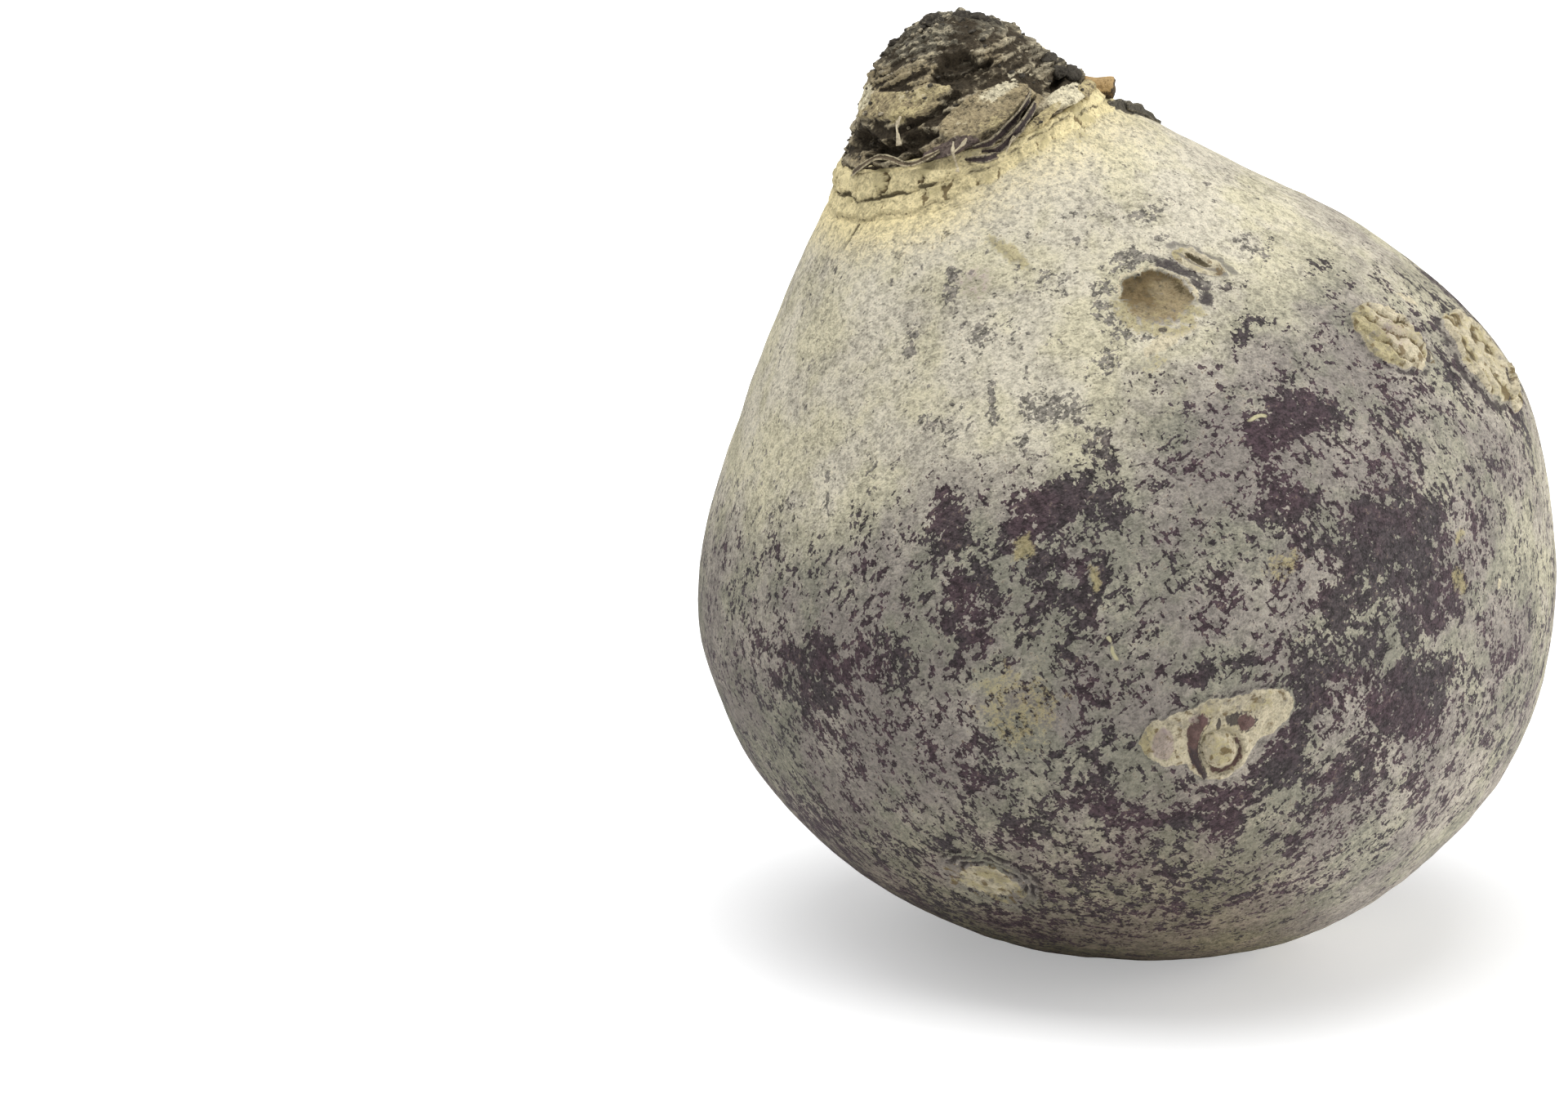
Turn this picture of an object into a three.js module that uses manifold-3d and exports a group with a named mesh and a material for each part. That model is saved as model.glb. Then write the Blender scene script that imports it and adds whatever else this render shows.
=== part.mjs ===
// A whole storage beetroot, as lifted, topped and dried: one swollen root that narrows to a
// bark-covered crown, with what is left of its leaf stalks on the crown.
// Millimetres, +Z up, +X to the right of someone who stands at -Y and looks along +Y.
// The origin is the middle of the flat spot that the root rests on.
import * as THREE from 'three';
import { mergeVertices } from 'three/addons/utils/BufferGeometryUtils.js';
import Module from 'manifold-3d';

// The root about its own axis: heights run along that axis from the tail end.
const BELLY_RADIUS = 47.8;
const BELLY_AT = 50;
const NECK_RADIUS = 16;
const NECK_AT = 97;
const CROWN_TOP_AT = 112.3;

// How the axis stands, in degrees, and where its tail end is from the origin.
const LEAN_LEFT = 18;
const NOD_FORWARD = 2;
const TAIL_END = new THREE.Vector3(9.5, 1.6, -1.2);

// The sections drift sideways from the axis near the tail and at the crown.
const TAIL_DRIFT = 4.5;
const TAIL_DRIFT_ENDS_AT = 40;
const CROWN_DRIFT = -1.8;
const CROWN_DRIFT_FROM = 72;
const CROWN_DRIFT_TO = 92;

// Mesh of the body of revolution.
const BELLY_ROWS = 20;
const SHOULDER_ROWS = 16;
const CROWN_ROWS = 18;
const SEGMENTS = 60;

// Surface relief.
const LUMP = 0.6;
const RIDGE_SPACING = 2.9;
const RIDGE_DEPTH = 0.55;
const CROWN_RAGGEDNESS = 0.5;
const TAIL_SCAR_RADIUS = 5;
const TAIL_SCAR_RISE = 0.4;

// Side-root scars: height on the axis, turn from the front towards the right in degrees,
// radius, and rise above the skin (a pit is negative).
const SCARS = [
  { height: 81, turn: 26, radius: 5, rise: -1.2 },
  { height: 67.5, turn: 56, radius: 4, rise: 0.5 },
  { height: 57, turn: 75, radius: 5, rise: 0.5 },
  { height: 38.5, turn: 6, radius: 5.5, rise: 0.7 },
  { height: 26.5, turn: -35, radius: 5.5, rise: -0.6 },
  { height: 60, turn: -100, radius: 5, rise: 0.5 },
  { height: 42, turn: 150, radius: 5.5, rise: -0.8 },
  { height: 74, turn: -155, radius: 4.5, rise: -0.9 },
];

// The cut leaf stalk that sticks out of the crown, and the direction that it points in.
const STUB_LENGTH = 5;
const STUB_RADIUS = 1;
const STUB_AT = { height: 101.4, turn: 86, sunk: 1.3 };
const STUB_DIRECTION = new THREE.Vector3(1, -0.2, -0.25).normalize();

// Gap between the crown and each leaf remnant that lies on it or in it.
const GAP = 0.4;

const BARK = new THREE.MeshStandardMaterial({ color: 0x3b352b, roughness: 0.95, metalness: 0 });
const SKIN = new THREE.MeshStandardMaterial({ color: 0xa59f90, roughness: 0.85, metalness: 0 });
const DRY_STALK = new THREE.MeshStandardMaterial({ color: 0xb29e78, roughness: 0.8, metalness: 0 });

const wasm = await Module();
wasm.setup();

function radians(degrees) {
  return THREE.MathUtils.degToRad(degrees);
}

// The outline from the tail end to the tip of the crown, as (radius, height) points.
function outline() {
  const belly = new THREE.CubicBezierCurve(
    new THREE.Vector2(0, 0),
    new THREE.Vector2(21, 3),
    new THREE.Vector2(BELLY_RADIUS, BELLY_AT - 35),
    new THREE.Vector2(BELLY_RADIUS, BELLY_AT),
  );
  const shoulder = new THREE.CubicBezierCurve(
    new THREE.Vector2(BELLY_RADIUS, BELLY_AT),
    new THREE.Vector2(BELLY_RADIUS, BELLY_AT + 16),
    new THREE.Vector2(NECK_RADIUS + 11, NECK_AT - 12.5),
    new THREE.Vector2(NECK_RADIUS, NECK_AT),
  );
  const crown = new THREE.SplineCurve([
    new THREE.Vector2(NECK_RADIUS, NECK_AT),
    new THREE.Vector2(13.6, 101),
    new THREE.Vector2(10.8, 105.3),
    new THREE.Vector2(7.3, 109.6),
    new THREE.Vector2(3, CROWN_TOP_AT - 0.4),
    new THREE.Vector2(0, CROWN_TOP_AT),
  ]);
  return [
    ...belly.getSpacedPoints(BELLY_ROWS),
    ...shoulder.getSpacedPoints(SHOULDER_ROWS).slice(1),
    ...crown.getSpacedPoints(CROWN_ROWS).slice(1),
  ];
}

const OUTLINE = outline();

function radiusAt(height) {
  const above = OUTLINE.findIndex((point) => point.y >= height);
  if (above <= 0) return OUTLINE.at(above).x;
  const [low, high] = [OUTLINE[above - 1], OUTLINE[above]];
  return THREE.MathUtils.mapLinear(height, low.y, high.y, low.x, high.x);
}

function driftAt(height) {
  const towardsTail = Math.max(0, 1 - height / TAIL_DRIFT_ENDS_AT);
  const towardsCrown = THREE.MathUtils.smoothstep(height, CROWN_DRIFT_FROM, CROWN_DRIFT_TO);
  return TAIL_DRIFT * towardsTail ** 1.5 + CROWN_DRIFT * towardsCrown;
}

// A place in the part's frame, from its height on the axis, its turn and its distance from the axis.
function place(height, turn, distance) {
  const point = new THREE.Vector3(
    distance * Math.sin(turn) + driftAt(height),
    -distance * Math.cos(turn),
    height,
  );
  point.applyAxisAngle(new THREE.Vector3(0, 1, 0), -radians(LEAN_LEFT));
  point.applyAxisAngle(new THREE.Vector3(1, 0, 0), radians(NOD_FORWARD));
  return point.add(TAIL_END);
}

for (const scar of SCARS) {
  scar.centre = place(scar.height, radians(scar.turn), radiusAt(scar.height));
}
const TAIL_SCAR_CENTRE = place(0, 0, 0);

// A smooth hump that is 1 at its middle and 0 from its edge outwards.
function hump(distance, radius) {
  const fall = Math.max(0, 1 - (distance / radius) ** 2);
  return fall * fall;
}

// Broad unevenness of the body, none of it on the sides' outline.
function lumps(height, turn) {
  const along = Math.PI * height / NECK_AT;
  return LUMP * (Math.sin(2 * turn) * Math.sin(along) + 0.6 * Math.cos(3 * turn) * Math.sin(2 * along));
}

// The leaf bases left round the crown as ragged steps.
function crownRidges(height, turn) {
  const wander = 0.5 * Math.sin(3 * turn + 0.4 * height) + 0.35 * Math.sin(7 * turn);
  const step = Math.sin((2 * Math.PI * (height - NECK_AT)) / RIDGE_SPACING + wander * 2);
  const ragged = Math.sin(5 * turn + 1.3 * height) * Math.sin(11 * turn - 0.8 * height);
  return RIDGE_DEPTH * step + CROWN_RAGGEDNESS * ragged;
}

// How far the skin stands out from the plain outline.
function relief(height, turn) {
  const distance = radiusAt(height);
  const here = place(height, turn, distance);
  const tailRing = hump(here.distanceTo(TAIL_SCAR_CENTRE), TAIL_SCAR_RADIUS);
  const scars = SCARS.map((scar) => scar.rise * hump(here.distanceTo(scar.centre), scar.radius));
  const onCrown = THREE.MathUtils.smoothstep(height, NECK_AT - 1, NECK_AT + 2);
  const nearTip = Math.min(1, distance / 4);
  return (1 - onCrown) * lumps(height, turn)
    + onCrown * nearTip * crownRidges(height, turn)
    + scars.reduce((sum, rise) => sum + rise, 0)
    + TAIL_SCAR_RISE * tailRing;
}

// A closed solid from a geometry whose surface is whole but whose seams and poles are doubled.
function solidOf(geometry) {
  const bare = geometry.clone();
  bare.deleteAttribute('normal');
  bare.deleteAttribute('uv');
  const merged = mergeVertices(bare, 1e-4);
  const corners = merged.index.array;
  const faces = [];
  for (let i = 0; i < corners.length; i += 3) {
    const [a, b, c] = corners.slice(i, i + 3);
    if (a !== b && b !== c && c !== a) faces.push(a, b, c);
  }
  return new wasm.Manifold(new wasm.Mesh({
    numProp: 3,
    vertProperties: new Float32Array(merged.attributes.position.array),
    triVerts: new Uint32Array(faces),
  }));
}

function geometryOf(solid) {
  const mesh = solid.getMesh();
  const geometry = new THREE.BufferGeometry();
  geometry.setAttribute('position', new THREE.BufferAttribute(mesh.vertProperties, 3));
  geometry.setIndex(new THREE.BufferAttribute(mesh.triVerts, 1));
  geometry.computeVertexNormals();
  return geometry;
}

// Moves every point of a geometry to where the function puts it.
function reshape(geometry, move) {
  const positions = geometry.attributes.position;
  const point = new THREE.Vector3();
  for (let i = 0; i < positions.count; i += 1) {
    point.copy(move(point.fromBufferAttribute(positions, i)));
    positions.setXYZ(i, point.x, point.y, point.z);
  }
  return geometry;
}

// The root and its crown, turned on the axis, roughened, leant over and cut flat where it rests.
function beetroot() {
  const turned = new THREE.LatheGeometry(OUTLINE, SEGMENTS);
  reshape(turned, (point) => {
    const turn = Math.atan2(point.x, point.z);
    const distance = Math.hypot(point.x, point.z);
    const onAxis = distance < 1e-6;
    return place(point.y, turn, onAxis ? 0 : distance + relief(point.y, turn));
  });
  const below = new THREE.BoxGeometry(200, 200, 20).translate(0, 0, -10);
  const stubSocket = stalkStub(GAP);
  return geometryOf(solidOf(turned).subtract(solidOf(below)).subtract(solidOf(stubSocket)));
}

// A strip that lies on the crown, bent to it: its middle is at a height and turn, it is so long
// and wide, it rises by climb from its left end to its right, and it is pointed as taper says.
function stripOnCrown({ height, turn, length, width, thickness, climb, taper }) {
  const flat = new THREE.BoxGeometry(length, width, thickness, 8, 2, 1);
  return reshape(flat, (point) => {
    const along = point.x / (length / 2);
    const narrowing = 1 - taper * along * along;
    const atHeight = height + point.y * narrowing + (climb / 2) * along;
    const atTurn = radians(turn) + point.x / radiusAt(height);
    const proud = GAP + thickness / 2 + point.z * narrowing;
    return place(atHeight, atTurn, radiusAt(atHeight) + relief(atHeight, atTurn) + proud);
  });
}

// The cut leaf stalk, a tapered peg set into the crown, or with a margin the socket that it sits in.
function stalkStub(margin = 0) {
  const { height, turn, sunk } = STUB_AT;
  const footRadius = STUB_RADIUS * 1.1;
  const peg = new THREE.CylinderGeometry(STUB_RADIUS + margin, footRadius + margin, STUB_LENGTH + margin, 8, 2);
  peg.translate(0, (STUB_LENGTH - margin) / 2, 0);
  const pegAxis = new THREE.Vector3(0, 1, 0);
  peg.applyQuaternion(new THREE.Quaternion().setFromUnitVectors(pegAxis, STUB_DIRECTION));
  const foot = place(height, radians(turn), radiusAt(height) - sunk);
  return peg.translate(foot.x, foot.y, foot.z);
}

const group = new THREE.Group();

function addPiece(name, geometry, material) {
  const mesh = new THREE.Mesh(geometry, material);
  mesh.name = name;
  group.add(mesh);
}

addPiece('beetroot', beetroot(), SKIN);
addPiece('leaf_stalk_stub', stalkStub(), DRY_STALK);
addPiece('withered_leaf_scrap', stripOnCrown({
  height: 94.8, turn: 102, length: 5.4, width: 2, thickness: 0.9, climb: -1.5, taper: 0.5,
}), BARK);
addPiece('leaf_stalk_remnant', stripOnCrown({
  height: 101.5, turn: 25, length: 8, width: 1.8, thickness: 1, climb: 2.6, taper: 0.7,
}), BARK);
addPiece('dry_leaf_scale', stripOnCrown({
  height: 100.3, turn: -38, length: 9, width: 1.4, thickness: 0.7, climb: 0.4, taper: 0.5,
}), DRY_STALK);

export default group;
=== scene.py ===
# %% [markdown]
# # A storage beetroot
#
# This lesson dresses a full-size solid of a beetroot so that it looks like
# one lifted from a clamp in late winter: a corky, grey and cream skin that is rubbed through to dark
# aubergine, side-root scars, and a crown of old leaf bases that has dried to black bark.
# The solid is the fixed frame. Nothing in it is moved: each new piece is made in the same place, in metres.

import math
import random

import bmesh
import bpy
import numpy as np
from mathutils import Matrix, Vector, noise
from mathutils.geometry import interpolate_bezier


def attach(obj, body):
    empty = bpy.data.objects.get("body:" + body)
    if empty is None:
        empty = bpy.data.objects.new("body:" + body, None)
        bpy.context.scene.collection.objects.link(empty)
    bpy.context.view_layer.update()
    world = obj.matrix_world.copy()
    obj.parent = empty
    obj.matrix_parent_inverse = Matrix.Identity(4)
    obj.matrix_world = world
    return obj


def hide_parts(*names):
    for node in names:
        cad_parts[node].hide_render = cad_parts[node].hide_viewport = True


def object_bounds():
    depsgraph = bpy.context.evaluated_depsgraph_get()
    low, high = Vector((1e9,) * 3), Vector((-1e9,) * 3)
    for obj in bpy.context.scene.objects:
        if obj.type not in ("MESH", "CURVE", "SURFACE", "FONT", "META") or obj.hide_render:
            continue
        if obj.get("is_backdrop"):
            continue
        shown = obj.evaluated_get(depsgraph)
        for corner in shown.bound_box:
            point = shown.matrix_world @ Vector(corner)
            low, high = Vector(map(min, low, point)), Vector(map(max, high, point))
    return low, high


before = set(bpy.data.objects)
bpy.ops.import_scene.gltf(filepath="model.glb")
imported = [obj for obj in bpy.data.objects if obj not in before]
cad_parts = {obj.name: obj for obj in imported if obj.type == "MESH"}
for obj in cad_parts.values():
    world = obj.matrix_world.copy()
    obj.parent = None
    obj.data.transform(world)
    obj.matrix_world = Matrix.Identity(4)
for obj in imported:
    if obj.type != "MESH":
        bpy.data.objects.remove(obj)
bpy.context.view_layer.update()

# %% [markdown]
# ## The root's own axis
#
# A beetroot is nearly a body of revolution, but it seldom stands straight. So each spot is named by its
# height along the root's own axis and its turn round it: 0 degrees faces the viewer, 90 is to the right.
# The outline is drawn upright, in millimetres, as two Bezier arcs, because arcs stay smooth however finely
# they are cut. Everything is shaped upright as well, and leans over only at the end.

# %% The outline, and how the axis stands
MM = 0.001
BELLY = ((0, 0), (21, 3), (47.8, 15), (47.8, 50))
SHOULDER = ((47.8, 50), (47.8, 66), (27, 84.5), (16, 97))
NECK_AT = 97
LEAN_LEFT = math.radians(18)
NOD_FORWARD = math.radians(2)
TAIL_END = Vector((9.5, 1.6, -1.2))
LUMP = 0.6


def arc(corners, steps):
    """Points on a Bezier arc, each as (radius, 0, height)."""
    return interpolate_bezier(*[Vector((radius, 0, height)) for radius, height in corners], steps)


def smooth(low, high, value):
    """0 below low, 1 above high, and an even rise between them."""
    share = np.clip((value - low) / (high - low), 0, 1)
    return share * share * (3 - 2 * share)


def drift(height):
    """How far the sections slide to the right near the tail and to the left at the crown."""
    towards_tail = np.maximum(0, 1 - height / 40)
    return 4.5 * towards_tail**1.5 - 1.8 * smooth(72, 92, height)


LEAN = Matrix.Rotation(NOD_FORWARD, 4, "X") @ Matrix.Rotation(-LEAN_LEFT, 4, "Y")


def stand_up(points):
    """Leans upright points over, as the real root stands, and puts them in metres."""
    shifted = points + np.stack([drift(points[:, 2]), 0 * points[:, 0], 0 * points[:, 0]], 1)
    turned = shifted @ np.array(LEAN.to_3x3()).T + np.array(TAIL_END)
    turned[:, 2] = np.maximum(turned[:, 2], 0)
    return turned * MM


outline = np.array(arc(BELLY, 40) + arc(SHOULDER, 40)[1:])
print("widest section:", round(2 * outline[:, 0].max(), 1), "mm")

# %% [markdown]
# ## Spinning the body
#
# A lathe turns a profile into a solid, and bmesh has the same tool: `spin`. A UV sphere that is pulled into
# shape would crowd its faces at the poles, and a remesh would leave steps, so the profile is spun. It
# closes inside the crown, where the bark hides it. A full spin needs `use_merge`, and the doubled points on
# the axis are merged after it. A spin slows down as its steps are added up, so only every fourth step is
# spun: the level edges are then cut in four, and the new points are moved out from the chord to the circle.

# %% Spin a profile into a closed surface
FINER = 4
SAME = 0.002  # millimetres within which two points count as level


def spun(profile, segments):
    """A bmesh of a profile turned once round the upright axis. The segments are a multiple of FINER."""
    shape = bmesh.new()
    line = [shape.verts.new(point) for point in profile]
    edges = [shape.edges.new(pair) for pair in zip(line, line[1:])]
    wide_step = math.tau * FINER / segments
    bmesh.ops.spin(shape, geom=line + edges, cent=(0, 0, 0), axis=(0, 0, 1), angle=math.tau,
                   steps=segments // FINER, use_merge=True)
    bmesh.ops.remove_doubles(shape, verts=shape.verts, dist=SAME / 2)
    level = []
    for edge in shape.edges:
        first, last = (vert.co for vert in edge.verts)
        if max(abs(first.z - last.z), abs(first.xy.length - last.xy.length)) < SAME:
            level.append(edge)
    bmesh.ops.subdivide_edges(shape, edges=level, cuts=FINER - 1, use_grid_fill=True)
    for vert in shape.verts:
        from_middle = math.atan2(vert.co.y, vert.co.x) % wide_step - wide_step / 2
        vert.co.xy *= math.cos(from_middle) / math.cos(wide_step / 2)
    bmesh.ops.recalc_face_normals(shape, faces=shape.faces)
    return shape


NECK_END = [(15.2, 98.3), (14.4, 99.6), (12.6, 100.4), (8, 100.8), (0, 101)]
skin_profile = arc(BELLY, 88) + arc(SHOULDER, 72)[1:]
skin_profile += [Vector((radius, 0, height)) for radius, height in NECK_END]
skin_shape = spun(skin_profile, 324)
print("skin:", len(skin_shape.faces), "faces")

# %% [markdown]
# ## Finer faces where there is more to see
#
# A side-root scar has ridges less than a millimetre wide, and the faces of the spun body are nearly a
# millimetre across. Cutting the whole body finer would make it needlessly heavy, so only the faces round
# each scar are cut, once or twice. `subdivide_edges` with grid fill keeps them four-sided.

# %% Cut the faces finer round a list of spots
def spot_on(height, turn, profile=outline):
    """The point at a height and turn in degrees, with the directions to its right and upwards on the skin."""
    radius = np.interp(height, profile[:, 2], profile[:, 0])
    slope = (np.interp(height + 0.5, profile[:, 2], profile[:, 0]) - radius) / 0.5
    angle = math.radians(turn)
    outwards = np.array((math.sin(angle), -math.cos(angle), 0))
    right = np.array((math.cos(angle), math.sin(angle), 0))
    upwards = outwards * slope + np.array((0, 0, 1))
    return outwards * radius + np.array((0, 0, height)), right, upwards / np.linalg.norm(upwards)


def refine(shape, spots, reach):
    """Halves every edge of the faces that lie within reach of one of the spots."""
    centres = np.array([face.calc_center_median() for face in shape.faces])
    nearest = np.min([np.linalg.norm(centres - spot_on(*spot)[0], axis=1) for spot in spots], axis=0)
    shape.faces.ensure_lookup_table()
    edges = {edge for index in np.nonzero(nearest < reach)[0] for edge in shape.faces[index].edges}
    bmesh.ops.subdivide_edges(shape, edges=list(edges), cuts=1, use_grid_fill=True)


# %% [markdown]
# ## A canvas for relief and colour
#
# The grain of the skin is finer than any face and is left to the finish, but where a scar or a rubbed patch
# lies has to be chosen. So each point carries a relief in millimetres and a few named masks from 0 to 1, such
# as how cream or how rubbed the skin is there. They are worked out together, because a scar is both a shape
# and a colour, and the masks become attributes of the mesh that the finish reads.

# %% Points that carry a relief and masks
def ruffle(points, size, seed):
    """Smooth random numbers from -1 to 1, one for each point, that change over size in millimetres."""
    shift = Vector((seed, 3.7 * seed, -2.1 * seed))
    return np.array([noise.noise(Vector(point) / size + shift) for point in points])


class Canvas:
    """What is worked out for every point of an upright surface."""

    def __init__(self, shape, names):
        self.points = np.array([vert.co for vert in shape.verts])
        self.normals = np.array([vert.normal for vert in shape.verts])
        self.height = self.points[:, 2]
        self.turn = np.degrees(np.arctan2(self.points[:, 0], -self.points[:, 1]))
        self.relief = np.zeros(len(self.points))
        self.masks = {name: np.zeros(len(self.points)) for name in names}

    def ruffle(self, size, seed):
        return ruffle(self.points, size, seed)


class Patch:
    """The part of a canvas round one spot, mapped flat in millimetres: across to the right, along upwards."""

    def __init__(self, canvas, height, turn, reach, tilt=0, profile=outline):
        centre, right, upwards = spot_on(height, turn, profile)
        offset = canvas.points - centre
        self.canvas = canvas
        self.near = np.nonzero((offset**2).sum(1) < reach**2)[0]
        flat = np.stack([offset[self.near] @ right, offset[self.near] @ upwards])
        cos, sin = math.cos(math.radians(tilt)), math.sin(math.radians(tilt))
        self.across, self.along = cos * flat[0] + sin * flat[1], cos * flat[1] - sin * flat[0]
        self.points = canvas.points[self.near]

    def ruffle(self, size, seed):
        return ruffle(self.points, size, seed)

    def lift(self, amount):
        self.canvas.relief[self.near] += amount

    def cover(self, name, amount):
        mask = self.canvas.masks[name]
        mask[self.near] = np.maximum(mask[self.near], np.clip(amount, 0, 1))

    def clear(self, name, amount):
        self.canvas.masks[name][self.near] *= 1 - np.clip(amount, 0, 1)

    def clear_all(self, amount):
        for name in self.canvas.masks:
            self.clear(name, amount)


def hump(distance):
    """1 in the middle and 0 from a distance of 1 outwards."""
    return np.maximum(0, 1 - distance**2) ** 2


def ridge(distance, middle, width):
    """1 at the middle distance, fading to 0 over width on both sides."""
    return np.maximum(0, 1 - ((distance - middle) / width) ** 2)


# %% [markdown]
# ## Side-root scars
#
# Fine side roots leave the body in places, and where one has died or been rubbed off the skin has healed
# with cork. A sunken scar keeps a tan floor under a torn lip, a raised one grows folds of cream cork, and a
# wide one can hold knobs. Scars could be sculpted by hand, but a relief that is worked out from distances and
# noise can be moved and resized. Each kind is a function, and the hidden sides get a few of the same kinds.

# %% Mottling that every scar has
def mottle(patch, inside, amount=1.0):
    """Yellow, grey and brown specks and fine wrinkles over the part of a patch that is inside."""
    coarse, fine = patch.ruffle(1.6, 61), patch.ruffle(0.55, 62)
    patch.cover("ochre", 0.6 * amount * inside * smooth(-0.25, 0.45, coarse + 0.4 * fine))
    patch.cover("halo", 0.55 * amount * inside * smooth(0.05, 0.5, patch.ruffle(1.3, 63) + 0.5 * fine))
    patch.cover("brown", 0.75 * amount * inside * smooth(0.12, 0.5, patch.ruffle(0.75, 64) - 0.3 * coarse))
    patch.lift(0.13 * fine * inside)


# %% Sunken scars
def pit(canvas, height, turn, across, along, depth):
    """A hollow with a torn lip above: its tan floor slopes up and runs out into the skin below it."""
    patch = Patch(canvas, height, turn, 2.8 * across, tilt=-18)
    broad, fine = patch.ruffle(2.6, height), patch.ruffle(0.8, turn)
    toward = np.arctan2(patch.along / along, patch.across / across)
    out = np.hypot(patch.across / across, patch.along / along) + 0.2 * broad + 0.11 * fine
    above = smooth(-0.45, 0.35, np.sin(toward + 0.35) + 0.3 * broad)
    inside = above * smooth(1.02, 0.9, out) + (1 - above) * smooth(1.12, 0.6, out)
    patch.clear_all(inside)
    patch.lift(-depth * (0.4 * above * smooth(1.0, 0.84, out) + 0.6 * smooth(1.05, 0.25, out)))
    patch.lift(0.16 * fine * inside + 0.24 * ridge(out, 1.07, 0.1) * above * smooth(-0.7, 0.2, fine + broad))
    patch.cover("floor", inside * (1 - 0.5 * (1 - above) * smooth(0.3, 1.0, out)))
    # Painted shade: brown on the upper left inside the hollow, and a dark band just inside the upper lip.
    shaded = smooth(-0.5, 0.9, np.sin(toward - 0.5) * out + 0.8 * broad + 0.3 * fine)
    patch.cover("brown", shaded * inside)
    patch.cover("crack", 0.55 * above * ridge(out, 0.84, 0.2) * smooth(-0.5, 0.4, fine + broad))
    mottle(patch, inside, 0.7)
    patch.cover("cork", 0.9 * above * ridge(out, 1.06, 0.07) * smooth(-0.8, 0.0, fine + broad))
    patch.cover("ochre", (1 - above) * ridge(out, 1.02, 0.42) * smooth(-0.7, 0.2, fine + broad))
    crescent = ridge(out, 1.3, 0.24) * smooth(-0.6, -0.2, toward) * smooth(1.7, 1.2, toward)
    patch.cover("dark", 0.9 * crescent * smooth(-0.8, 0.2, fine + broad))
    patch.cover("rubbed", 0.75 * crescent)
    patch.cover("rubbed", 0.62 * ridge(out, 1.45, 0.42) * smooth(0.1, -0.5, np.cos(toward)))
    patch.cover("rubbed", 0.6 * ridge(out, 1.35, 0.3) * smooth(0.3, 0.8, np.sin(toward)))


def slit(canvas, height, turn, length, width, tilt):
    """A healed tear: two uneven cream lips, a dark gap under the upper one and a grey floor below the gap."""
    patch = Patch(canvas, height, turn, 1.2 * length, tilt)
    ragged = 0.16 * patch.ruffle(1.3, 2) + 0.07 * patch.ruffle(0.5, 6)
    across, along = patch.across / (length / 2), patch.along / (width / 2) + ragged
    out = np.hypot(across, along) + ragged
    gap = np.hypot((across + 0.08) / 0.5, (along - 0.2 + 0.2 * across) / 0.22)
    inside = smooth(1.05, 0.9, out)
    patch.clear_all(smooth(1.15, 0.9, out))
    patch.lift(0.22 * ridge(out, 0.75, 0.4) - 0.45 * smooth(1.15, 0.5, gap))
    patch.cover("cork", inside)
    mottle(patch, inside, 0.8)
    patch.cover("ochre", 0.9 * smooth(-0.45, -0.8, across) * inside)
    patch.cover("brown", 0.7 * smooth(0.4, 0.8, across) * inside)
    patch.cover("crack", smooth(1.3, 0.8, gap))
    below_gap = ridge(gap, 1.9, 0.8) * (along < 0.1)
    above_lips = ridge(out, 1.25, 0.22) * smooth(0, 0.5, along)
    patch.cover("halo", 0.9 * (below_gap + above_lips))


# %% Raised scars
def folded_scar(canvas, height, turn, wide, long, tilt):
    """A crumpled lump of cream cork with creases along it, and a small round knob at its lower end."""
    patch = Patch(canvas, height, turn, long, tilt)
    ragged = 0.16 * patch.ruffle(2.4, turn) + 0.08 * patch.ruffle(0.8, height)
    across, along = patch.across / (wide / 2), patch.along / (long / 2)
    out = np.hypot(across, along) + ragged
    inside = smooth(1.04, 0.92, out)
    wander = patch.ruffle(2.6, turn) + 0.3 * patch.ruffle(0.9, height)
    folds = np.abs(np.sin(math.pi * (patch.across / 2.3 + 0.75 * wander)))
    middle = hump(np.hypot(across / 0.8, along / 0.95))
    patch.clear_all(inside)
    patch.lift((0.2 + 0.35 * middle + 0.55 * smooth(0.1, 0.8, folds)) * inside)
    patch.cover("cork", inside)
    mottle(patch, inside)
    patch.cover("tint", 0.55 * middle * inside)
    patch.cover("ochre", 0.9 * inside * smooth(0.1, 0.6, along - across))
    broken = smooth(-0.5, 0.0, patch.ruffle(1.6, 7)) * smooth(0.98, 0.8, np.hypot(across, along))
    patch.cover("brown", broken * smooth(0.5, 0.2, folds))
    patch.cover("crack", 0.9 * broken * smooth(0.24, 0.1, folds))
    lower_edge = ridge(out, 1.1, 0.12) * smooth(0.3, -0.3, along)
    patch.cover("dark", 0.9 * lower_edge * smooth(-0.5, 0.0, patch.ruffle(1.6, 9)))
    knob = np.hypot(patch.across - 0.1 * wide, patch.along + 0.5 * long) / 0.85
    patch.lift(0.4 * hump(knob))
    patch.cover("cork", smooth(1.0, 0.85, knob))
    patch.cover("brown", 0.9 * ridge(knob, 1.2, 0.22))


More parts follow.
